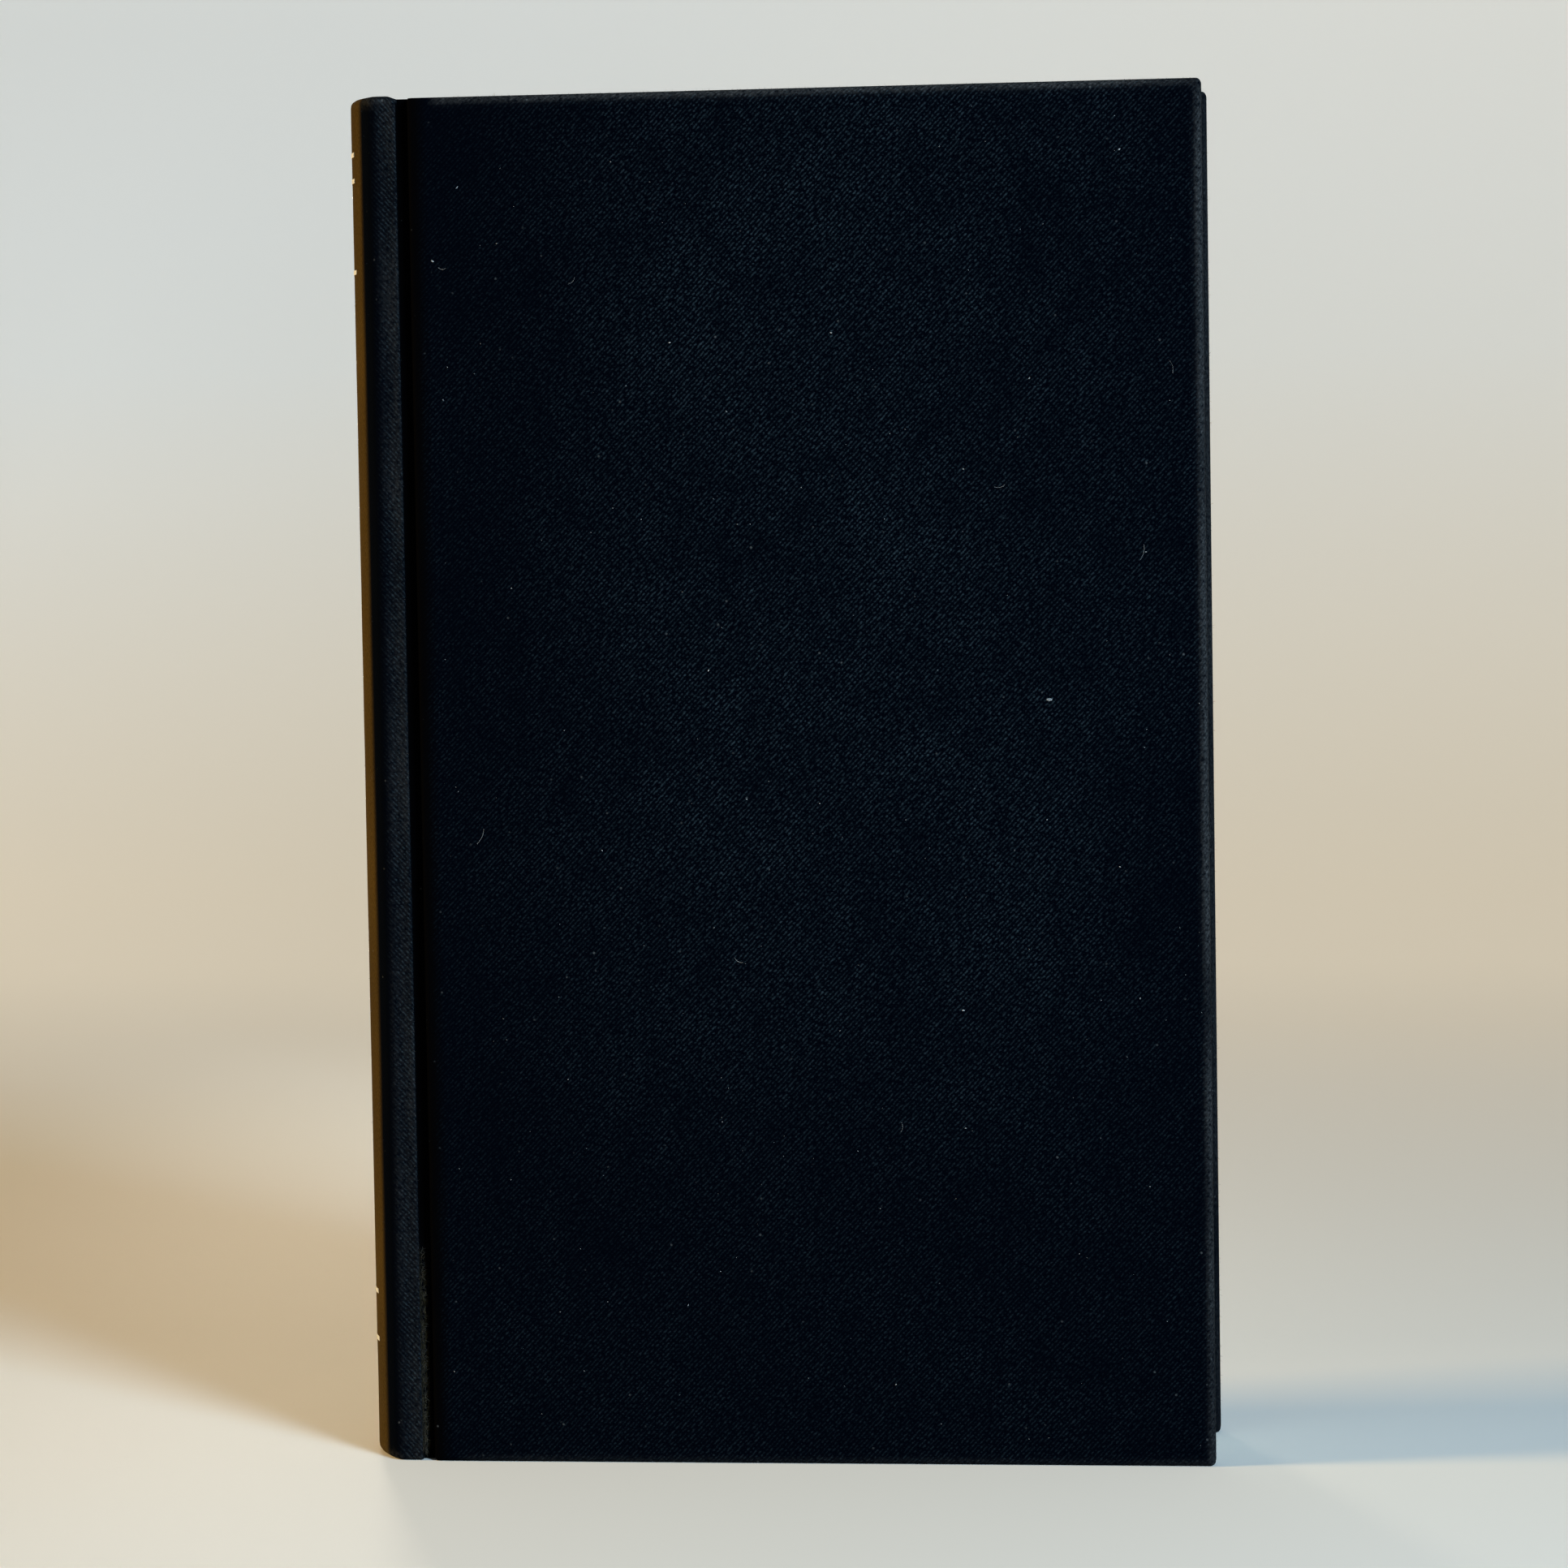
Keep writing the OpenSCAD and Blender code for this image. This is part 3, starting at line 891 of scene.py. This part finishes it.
def wearOfSpine(co):
    x, y, z = co
    fromCrest = crestY - abs(y)
    # painted shade in the groove, as values below zero
    if x > crestX - 0.02 and fromCrest > 0.35:
        return -spineWearAndPaintedLight["groove"] * smooth(0.35, 0.9, fromCrest)
    # rubbing of the ends, the crest and the flat shoulder, with a painted highlight on the crest and the shoulder
    ends = spineWearAndPaintedLight["endShare"] * (1 - smooth(*spineWearAndPaintedLight["ends"], min(z, tall - z)))
    ridge = spineWearAndPaintedLight["ridgeShare"] * (1 - smooth(*spineWearAndPaintedLight["ridge"], math.hypot(crestX - x, fromCrest)))
    upper = smooth(50, 150, z)
    start = crestX - shoulder - 0.2 + 0.4 * upper
    flat = smooth(start, start + 1.6, x) * smooth(1.6, 0.4, fromCrest)
    crest = smooth(crestX - 2.2, crestX, x)
    flat *= spineWearAndPaintedLight["flat"] + spineWearAndPaintedLight["flatHigh"] * upper + spineWearAndPaintedLight["flatCrest"] * crest
    patchy = 0.75 + 0.7 * (noise.noise(Vector((x * 0.12, y * 0.12, z * 0.07))) + 0.15)
    patchy += 0.5 * noise.noise(Vector((x * 0.7, y * 0.7, z * 0.3)))
    return min(1, max(0, spineWearAndPaintedLight["overall"] * max(ridge, flat, ends) * patchy))


def frayOfSpine(co):
    return frayOfCover(co, -1 if co.y > 0 else 1) if abs(co.y) < crestY - 0.25 else 0


# painted shade: the spine darkened to a strip beside its shoulder, where the crown turns away from the lamps
def handledOfSpine(co):
    dark = smooth(2.4, 0.9, abs(abs(co.y) - spineWearAndPaintedLight["darkAt"])) * (1 - smooth(crestX - 3.4, crestX - 2, co.x))
    return 0.75 - 0.75 * dark


# painted warm light: brown over the crown of the spine, where the warm lamp grazes it
def sunnedOfSpine(co):
    patchy = 0.88 + 0.28 * noise.noise(Vector((co.y * 0.1, co.z * 0.05, 8)))
    return patchy * smooth(*spineWearAndPaintedLight["crownAt"], abs(co.y))


def makeSpineCloth():
    bm, uv = newSheet()
    columns = spineColumns()
    radius = spineForm["endRadius"]
    rows, outerRows = wrapRows(radius)
    flatX = lengthsAlong([outer for outer, inner in columns])

    def place(i, j):
        x, y, z = wrapPoint(rows[j], columns[i], radius)[0]
        if rows[j][0] == "out" and x < crestX - 0.6:
            # small swells where the cloth lies on the card
            away = Vector((x - spineMidX, y, 0)).normalized()
            swell = spineForm["swell"] * noise.noise(Vector((y * 0.14, z * 0.10, 3.3))) - spineForm["swellDrop"]
            x += away.x * swell
            y += away.y * swell
        # the cloth stands a little proud of the boards at the head
        z += spineForm["proud"] * smooth(crestX, crestX - 1.5, x) * smooth(tall - 16, tall - 2, z)
        return (x, y, z)

    def flat(i, j):
        return flatX[i] - 40, wrapPoint(rows[j], columns[i], radius)[1]

    gridSheet(bm, len(columns), len(rows), place, flat, uv)
    bmesh.ops.remove_doubles(bm, verts=bm.verts[:], dist=0.0005)

    def isOuter(f):
        onCrown = f.calc_center_median().x < spineLow.x + 1
        return -f.normal.x * f.calc_area() if onCrown else 0

    markVerts(bm, wear=wearOfSpine, fray=frayOfSpine, handled=handledOfSpine, sunned=sunnedOfSpine)
    thicken(bm, isOuter, spineForm["cloth"])
    piece = linkPiece("spineCloth", bm, twill)
    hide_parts("spine_cloth", "front_joint_cloth", "rear_joint_cloth")
    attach(piece, "text_block")


covers = (("front", 1), ("rear", -1))
for cover, side in covers:
    makeCoverCloth(cover, side)
makeSpineCloth()
print("cloth made")


# pages

pageForm = {
    "gatherings": 14, "leavesEach": 16, "half": 11.1,
    "gap": 0.006,  # air between leaves
    "gatheringGap": 0.05,
    "groupShift": 0.05, "foreRagged": (-0.045, 0.02), "endRagged": 0.03,
    "backInside": 0.03, "backSpread": 1.07,
    "flare": 0.075,  # how far the leaves fan out at the back, where they were hammered over
    "stations": (0, 0.006, 0.014, 0.03, 0.3, 0.65, 0.97, 1),
    "seed": 5,
}


def makePageBlock():
    random.seed(pageForm["seed"])
    bm = bmesh.new()
    halfBlock, each, stations = pageForm["half"], pageForm["leavesEach"], pageForm["stations"]
    count = pageForm["gatherings"] * each
    pitchY = 2 * halfBlock / count
    foreMid = pageHigh.x + math.sqrt(blockRadius ** 2 - halfBlock ** 2)
    for n in range(count):
        place = n % each
        if place == 0:
            groupShift = random.uniform(-pageForm["groupShift"], pageForm["groupShift"])
        y = -halfBlock + (n + 0.5) * pitchY
        y += (0.5 - (place + 0.5) / each) * pageForm["gatheringGap"]
        fore = foreMid - math.sqrt(blockRadius ** 2 - y * y) + groupShift + random.uniform(*pageForm["foreRagged"])
        backRadius = blockRadius - pageForm["backInside"]
        back = spineMidX - math.sqrt(backRadius ** 2 - (y * pageForm["backSpread"]) ** 2)
        low = pageLow.z + random.uniform(0, pageForm["endRagged"])
        high = pageHigh.z - random.uniform(0, pageForm["endRagged"])
        last = len(stations) - 1
        made = bmesh.ops.create_grid(bm, x_segments=last, y_segments=1, size=1)
        for v in made["verts"]:
            x = back + (fore - back) * stations[round((v.co.x + 1) / 2 * last)]
            flare = 1 + pageForm["flare"] * smooth(leafLow.x - 0.25, leafLow.x - 1.3, x)
            v.co = (x, y * flare, low if v.co.y < 0 else high)
    bmesh.ops.solidify(bm, geom=bm.faces[:], thickness=pitchY - pageForm["gap"])
    piece = linkPiece("pageLeaves", bm, pageEdges, 30)
    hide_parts("page_block")
    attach(piece, "text_block")


paperForm = {
    "sheet": 0.19,  # thickness of an endpaper
    "onBoard": 3.2, "atJoint": 3.4,  # depth of the pastedown's face
    "mull": 0.2, "cloth": 0.4,  # how far it steps up over them
    "leaf": 3.7,  # depth of the free leaf
    "foldSteps": ((0, 3.42), (0, 3.5), (0.02, 3.6), (0.1, 3.66), (0.22, 3.7)),
}


def pasteDepth(x, z):
    # the pastedown lies on the board and steps up over the mull and the turned-in cloth
    over = (1 - smooth(wingHigh.x, wingHigh.x + 1.0, x)) * smooth(wingLow.z - 1, wingLow.z, z)
    over *= paperForm["mull"] * (1 - smooth(wingHigh.z, wingHigh.z + 1, z))
    turnIn = coverForm["turnIn"]
    inner = max(turnIn - z, turnIn - (tall - z), turnIn - (foreX - x))
    turned = smooth(-1.1, 0, inner)
    onBoard = paperForm["onBoard"] + max(over, paperForm["cloth"] * turned)
    return paperForm["atJoint"] + (onBoard - paperForm["atJoint"]) * smooth(coverX - 0.3, coverX + 0.8, x)


def makePastedown(cover, side):
    bm, uv = newSheet()
    # stations are close together at the hinge, the mull's edge and the turned-in cloth
    edgeX = foreX - coverForm["turnIn"]
    xs = [leafLow.x, leafLow.x + 1.2, leafLow.x + 2.4] + [crestX - 0.3 + k * 0.2 for k in range(12)]
    xs += [coverX + e for e in (0.4, 0.8, 1.6, 4, 9, 15, 21)]
    xs += [wingHigh.x + e for e in (-0.1, 0.3, 0.7, 1.1, 6, 12, 20, 30, 40, 50, 60, 70)]
    xs += [edgeX + e for e in (-4, -1.2, -0.8, -0.4, 0, 3, 6, 9)] + [pasteHigh.x]
    xs = sorted({round(x, 3) for x in xs if x <= pasteHigh.x})
    zs = [pasteLow.z, 6, 10, 14, 15, 15.4, 15.8, 16.2, 17, 17.5, 18, 18.4, 20, 26]
    zs = zs + [26 + (tall - 52) * k / 30 for k in range(1, 30)] + [tall - z for z in reversed(zs)]

    def place(i, j):
        return (xs[i], -side * (halfThick - pasteDepth(xs[i], zs[j])), zs[j])

    gridSheet(bm, len(xs), len(zs), place, lambda i, j: (xs[i], zs[j]), uv)
    thicken(bm, lambda f: f.normal.y * side, paperForm["sheet"])
    paste = linkPiece(cover + "Pastedown", bm, endpaper, 30)
    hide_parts(cover + "_pastedown", cover + "_flyleaf")
    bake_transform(paste)


def makeFlyleaf(cover, side):
    # the free leaf, with its fold up the shoulder of the block
    bm, uv = newSheet()
    foldX, depth = leafLow.x, paperForm["leaf"]
    line = [(foldX + x, deep) for x, deep in paperForm["foldSteps"]]
    line += [(foldX + 0.5 + k * k * 0.19, depth) for k in range(25)]
    line = [spot for spot in line if spot[0] < leafHigh.x - 1] + [(leafHigh.x, depth)]
    heights = [leafLow.z + (leafHigh.z - leafLow.z) * k / 32 for k in range(33)]

    def place(i, j):
        x, deep = line[i]
        return (x, -side * (halfThick - deep), heights[j])

    gridSheet(bm, len(line), len(heights), place, lambda i, j: (line[i][0], heights[j]), uv)
    thicken(bm, lambda f: -f.normal.y * side, paperForm["sheet"])
    leaf = linkPiece(cover + "Flyleaf", bm, endpaper, 30)
    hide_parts(cover + "_flyleaf")
    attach(leaf, "text_block")


makePageBlock()
for cover, side in covers:
    makePastedown(cover, side)
    makeFlyleaf(cover, side)
print("pages and endpapers made")


# mull and bands

mullForm = {
    "overBlock": 0.1, "backThick": 0.12,
    "shoulderY": 12.25, "lipY": 11.95, "lip": 0.1,  # where the gauze turns round the block's shoulder
    "backSteps": 20, "rows": 20,
    "wingDepth": 3.02, "wingThick": 0.14,
}


def makeMullBack(heights):
    radius = blockRadius + mullForm["overBlock"]
    end = math.asin(mullForm["shoulderY"] / radius)
    steps, lip = mullForm["backSteps"], mullForm["lip"]
    turns = [end * k / steps for k in range(-steps, steps + 1)]
    line = [(spineMidX - radius * math.cos(a), radius * math.sin(a)) for a in turns]
    line = [(line[0][0] + lip, -mullForm["lipY"])] + line + [(line[-1][0] + lip, mullForm["lipY"])]
    along = lengthsAlong(line)
    bm, uv = newSheet()
    gridSheet(bm, len(line), len(heights), lambda i, j: (*line[i], heights[j]),
              lambda i, j: (along[i], heights[j]), uv)
    thicken(bm, lambda f: -f.normal.x, mullForm["backThick"])
    back = linkPiece("mullBack", bm, gauze, 50)
    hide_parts("mull")
    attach(back, "text_block")


def makeMullWing(cover, side, heights):
    xs = [leafLow.x, leafLow.x + 1.0, leafLow.x + 2.0] + [crestX - 0.1 + 0.17 * k for k in range(13)]
    xs += [coverX + 0.2 + k * 2.07 for k in range(12)] + [wingHigh.x]
    y = -side * (halfThick - mullForm["wingDepth"])
    bm, uv = newSheet()
    gridSheet(bm, len(xs), len(heights), lambda i, j: (xs[i], y, heights[j]), lambda i, j: (xs[i], heights[j]), uv)
    thicken(bm, lambda f: -f.normal.y * side, mullForm["wingThick"])
    wing = linkPiece(cover + "Mull", bm, gauze, 50)
    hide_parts(cover + "_mull_wing", "mull")
    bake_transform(wing)


bandForm = {
    "bead": 0.8, "threads": 62, "ripple": 0.045, "sides": 14, "turns": 248,
    "tapeOverBlock": 0.16, "tapeThick": 0.14, "tapeShort": 0.2, "tapeSteps": 20,
}


def makeBand(name, node, head):
    low, high = nodeBox(node)
    bead, ripple = bandForm["bead"], bandForm["ripple"]
    ring = spineMidX - liningLow.x - bead
    beadZ = high.z - bead if head else low.z + bead
    end = math.acos((spineMidX - liningHigh.x) / ring) - 0.02
    bm, uv = newSheet()
    around = Matrix.Translation((spineMidX - ring, 0, beadZ)) @ Matrix.Rotation(math.pi / 2, 4, "X")
    bmesh.ops.create_circle(bm, cap_ends=True, radius=bead - ripple, segments=bandForm["sides"], matrix=around)
    turnBack = Matrix.Rotation(-end, 3, "Z")
    bmesh.ops.rotate(bm, cent=(spineMidX, 0, 0), matrix=turnBack, verts=bm.verts[:])
    bmesh.ops.spin(bm, geom=bm.faces[:] + bm.edges[:] + bm.verts[:], cent=(spineMidX, 0, 0), axis=(0, 0, 1),
                   angle=2 * end, steps=bandForm["turns"])
    bmesh.ops.recalc_face_normals(bm, faces=bm.faces[:])
    # the thread wound round the bead
    for v in bm.verts:
        turn = math.atan2(v.co.y, spineMidX - v.co.x)
        middle = Vector((spineMidX - ring * math.cos(turn), ring * math.sin(turn), beadZ))
        out = v.co - middle
        tube = math.atan2(out.z, math.hypot(v.co.x - spineMidX, v.co.y) - ring)
        if abs(turn) < end - 0.01:
            wound = abs(math.cos(turn / end * bandForm["threads"] * math.pi / 2 + tube * 0.5))
            v.co = middle + out * (1 + ripple / bead * (2 * wound - 1))
    for f in bm.faces:
        for loop in f.loops:
            co = loop.vert.co
            loop[uv].uv = (math.atan2(co.y, spineMidX - co.x) * ring / 100, co.z / 100)
    # the tape behind the bead, glued down the back
    free = low.z + bandForm["tapeShort"] if head else high.z - bandForm["tapeShort"]
    heights = [free, (low.z + high.z) / 2, beadZ]
    tape, steps = blockRadius + bandForm["tapeOverBlock"], bandForm["tapeSteps"]

    def tapePlace(i, j):
        a = end * (i / steps - 1)
        return (spineMidX - tape * math.cos(a), tape * math.sin(a), heights[j])

    def tapeFlat(i, j):
        return tape * end * (i / steps - 1), heights[j]

    faces = list(gridSheet(bm, 2 * steps + 1, 3, tapePlace, tapeFlat, uv)[1])
    thicken(bm, lambda f: -f.normal.x, bandForm["tapeThick"], faces)
    piece = linkPiece(name, bm, bandThread, 60)
    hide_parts(node)
    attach(piece, "text_block")


mullRows = mullForm["rows"]
mullHeights = [mullLow.z + (mullHigh.z - mullLow.z) * k / mullRows for k in range(mullRows + 1)]
makeMullBack(mullHeights)
for cover, side in covers:
    makeMullWing(cover, side, mullHeights)
makeBand("headBead", "headband", True)
makeBand("tailBead", "tailband", False)
print("mull and bands made")


# nodes kept from the frame

for nodeName, material in (("front_board", greyBoard), ("rear_board", greyBoard), ("spine_inlay", greyBoard),
                           ("spine_lining", liningPaper), ("spine_rules", foil)):
    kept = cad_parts[nodeName]
    for spot in kept.material_slots:
        spot.material = material


# lint and fuzz

# places of lint on the front cloth, by pixel of the photograph: (across, down, length in mm)
lintSpots = [
    (563, 231, 0.35), (533, 322, 0.4), (1024, 410, 0.3), (825, 422, 0.28), (1268, 466, 0.3), (895, 507, 0.3),
    (546, 493, 0.28), (1293, 862, 0.75), (1187, 1245, 0.4), (1379, 184, 0.35), (873, 826, 0.3), (612, 300, 0.2),
    (1187, 578, 0.22), (1405, 1230, 0.25), (1380, 1068, 0.22), (880, 1143, 0.22), (1035, 1270, 0.2), (848, 1608, 0.25),
    (742, 1048, 0.2), (920, 985, 0.2), (1010, 990, 0.2), (1412, 680, 0.25), (630, 725, 0.2), (700, 1330, 0.18),
    (1190, 1390, 0.2), (1330, 1545, 0.2), (560, 1690, 0.22), (1104, 1706, 0.25), (790, 640, 0.18), (1290, 1010, 0.18),
]
# threads lie there too: (across, down, length in mm, angle)
fibreSpots = [
    (588, 1040, 2.6, 1.2), (1405, 690, 2.4, 1.4), (1225, 600, 1.6, 0.3), (905, 1180, 1.5, -0.4), (1445, 460, 2.0, 1.9),
    (700, 350, 1.4, 0.9), (1110, 1395, 1.5, 1.6), (540, 330, 1.2, 0.1),
]


lintForm = {"dust": 150, "dustSize": (0.07, 0.16), "flat": (1.25, 0.35, 0.6), "thread": 0.045, "threadCurl": 0.35}


def spotOnFront(across, down):
    middle, focal = cameraView["frame"] / 2, cameraView["focal"]
    ray = ahead + (across - middle) / focal * right - (down - middle) / focal * up
    return eye + ray * ((-halfThick - eye.y) / ray.y)


def newFibre(start, heading, length, thick, curl, away=None):
    away = away or heading.orthogonal().normalized()
    return start, heading, heading.cross(away).normalized(), away, length, thick, curl


def alongFibre(fibre, t):
    # the middle of a curled fibre and half its thickness, at the share t of its length
    start, heading, side, away, length, thick, curl = fibre
    middle = start + heading * (length * t) + side * (curl * math.sin(t * 2.6)) + away * (0.3 * curl * t * t)
    return middle, thick / 2 * (1 - 0.5 * t)


def growFibres(bm, fibres, steps=4):
    # threads with three corners, drawn out of their roots and thinner at their tips
    number = bm.verts.layers.int.new("number")
    tips = []
    for n, fibre in enumerate(fibres):
        middle, half = alongFibre(fibre, 0)
        side, away = fibre[2:4]
        root = bmesh.ops.create_circle(bm, cap_ends=True, segments=3, radius=1)["verts"]
        for v, a in zip(root, (0.5, 2.6, 4.7)):
            v.co = middle + half * (math.cos(a) * side + math.sin(a) * away)
            v[number] = n
        tips.append(root[0].link_faces[0])
    for k in range(steps):
        drawn = bmesh.ops.extrude_face_region(bm, geom=tips + [e for tip in tips for e in tip.edges])["geom"]
        tips = [part for part in drawn if isinstance(part, bmesh.types.BMFace)]
        for tip in tips:
            fibre = fibres[tip.verts[0][number]]
            last, lastHalf = alongFibre(fibre, k / steps)
            middle, half = alongFibre(fibre, (k + 1) / steps)
            for v in tip.verts:
                v.co = middle + (v.co - last) * (half / lastHalf)
    bm.verts.layers.int.remove(number)


def addSpeck(bm, spot, size, tilt):
    made = bmesh.ops.create_icosphere(bm, subdivisions=1, radius=size / 2)
    for v in made["verts"]:
        v.co *= 1 + 0.5 * noise.noise(v.co * 6 + Vector(spot))
        v.co = Vector(c * flat for c, flat in zip(v.co, lintForm["flat"]))
    bmesh.ops.rotate(bm, cent=(0, 0, 0), matrix=Matrix.Rotation(tilt, 3, "Y"), verts=made["verts"])
    bmesh.ops.translate(bm, verts=made["verts"], vec=spot)


def linkThreads(name, bm, fibres, material, body):
    growFibres(bm, fibres)
    bmesh.ops.recalc_face_normals(bm, faces=bm.faces[:])
    piece = linkPiece(name, bm, material)
    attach(piece, body)


def makeLintPiece():
    bm = bmesh.new()
    for across, down, size in lintSpots:
        addSpeck(bm, spotOnFront(across, down) - Vector((0, 0.01, 0)), size, random.uniform(-1.2, 1.2))
    for k in range(lintForm["dust"]):
        x = random.uniform(coverX + 1.5, foreX - 1)
        spot = Vector((x, -halfThick - 0.005, random.uniform(2, tall - 2)))
        addSpeck(bm, spot, random.uniform(*lintForm["dustSize"]), random.uniform(-1.5, 1.5))
    outwards = Vector((0, -1, 0))
    fibres = []
    for across, down, length, angle in fibreSpots:
        start = spotOnFront(across, down) + outwards * 0.05
        heading = Vector((math.cos(angle), 0, math.sin(angle)))
        fibres.append(newFibre(start, heading, length, lintForm["thread"], lintForm["threadCurl"], outwards))
    linkThreads("frontLint", bm, fibres, lint, "front_cover")


# sizes in mm
fuzzForm = {
    "thick": 0.028, "rooted": 0.05, "lean": 0.8, "spineTurn": 0.66,
    "besideGroove": 0.35,  # the share of their length kept there, clear of the opened spine
}
coverFuzz = {"count": 520, "reach": (0.15, 0.6), "longest": 0.6, "curl": 0.12}
spineFuzz = {"count": 900, "reach": (0.15, 0.55), "longest": 0.5, "curl": 0.1}
grooveFray = {"count": 480, "reach": (0.3, 0.9), "thick": 0.045, "curl": 0.2, "height": 32}


def placeOnCover(side):
    # a random place on a cover's edges, its way out and a share of length: head, tail, fore edge, groove
    share = random.random()
    y = -side * (halfThick - random.uniform(0.1, 3.2))
    if share < 0.36:
        return Vector((random.uniform(coverX + 1, foreX - 1), y, tall)), Vector((0, 0, 1)), 1
    if share < 0.46:
        return Vector((random.uniform(coverX + 1, foreX - 1), y, 0.15)), Vector((0, -side, 0.1)), 1
    if share < 0.9:
        return Vector((foreX, y, random.uniform(1, tall - 1))), Vector((1, 0, 0)), 1
    spot = Vector((coverX + 0.3, -side * (halfThick - 0.25), random.uniform(1, tall - 1)))
    return spot, Vector((-0.6, -side * 0.8, 0)), fuzzForm["besideGroove"]


def placeOnSpine():
    # the same on the spine: beside a groove, at the head or on the crown
    side = 1 if random.random() < 0.6 else -1
    share = random.random()
    if share < 0.6:
        spot = Vector((crestX - 0.2, -side * (halfThick - 0.45), random.uniform(1, tall - 1)))
        return spot, Vector((0.25, -side, 0)), 1
    turn = random.uniform(-fuzzForm["spineTurn"], fuzzForm["spineTurn"])
    away = Vector((-math.cos(turn), math.sin(turn), 0))
    if share < 0.8:
        return Vector((spineMidX, 0, tall - 0.3)) + away * (spineRadius - 0.3), away * 0.3 + Vector((0, 0, 1)), 1
    return Vector((spineMidX, 0, random.uniform(1, tall - 1))) + away * spineRadius, away, 1


def makeFuzz(name, form, placeAt, body):
    fibres = []
    for k in range(form["count"]):
        spot, out, kept = placeAt()
        # it leans at random, but not back into the cloth
        lean = Vector([random.gauss(0, 1) for axis in "xyz"]) * fuzzForm["lean"]
        heading = (out + lean).normalized()
        if heading.dot(out) < 0.1:
            heading = (heading - 1.5 * heading.dot(out) * out + 0.2 * out).normalized()
        if spot.z < 1 and heading.z < 0:
            heading.z = -heading.z
        reach = min(random.uniform(*form["reach"]) * kept, form["longest"])
        curl = random.uniform(-form["curl"], form["curl"])
        fibres.append(newFibre(spot - out * fuzzForm["rooted"], heading, reach, fuzzForm["thick"], curl))
    linkThreads(name, bmesh.new(), fibres, fuzz, body)


def makeGrooveThreads():
    fibres = []
    for k in range(grooveFray["count"]):
        z = 1 + grooveFray["height"] * random.random() ** 1.3
        spot = Vector((crestX + random.uniform(-0.1, 0.6), -halfThick + random.uniform(0.5, 2.0), z))
        heading = Vector((random.uniform(0, 0.8), random.uniform(-0.6, 0.3), random.gauss(0, 1.2))).normalized()
        reach = random.uniform(*grooveFray["reach"])
        curl = random.uniform(-grooveFray["curl"], grooveFray["curl"])
        fibres.append(newFibre(spot, heading, reach, grooveFray["thick"], curl))
    linkThreads("grooveThreads", bmesh.new(), fibres, brownThread, "text_block")


random.seed(21)
makeLintPiece()
for cover, side in covers:
    makeFuzz(cover + "Fuzz", coverFuzz, lambda: placeOnCover(side), cover + "_cover")
makeGrooveThreads()
makeFuzz("spineFuzz", spineFuzz, placeOnSpine, "text_block")
print("lint and fuzz made")
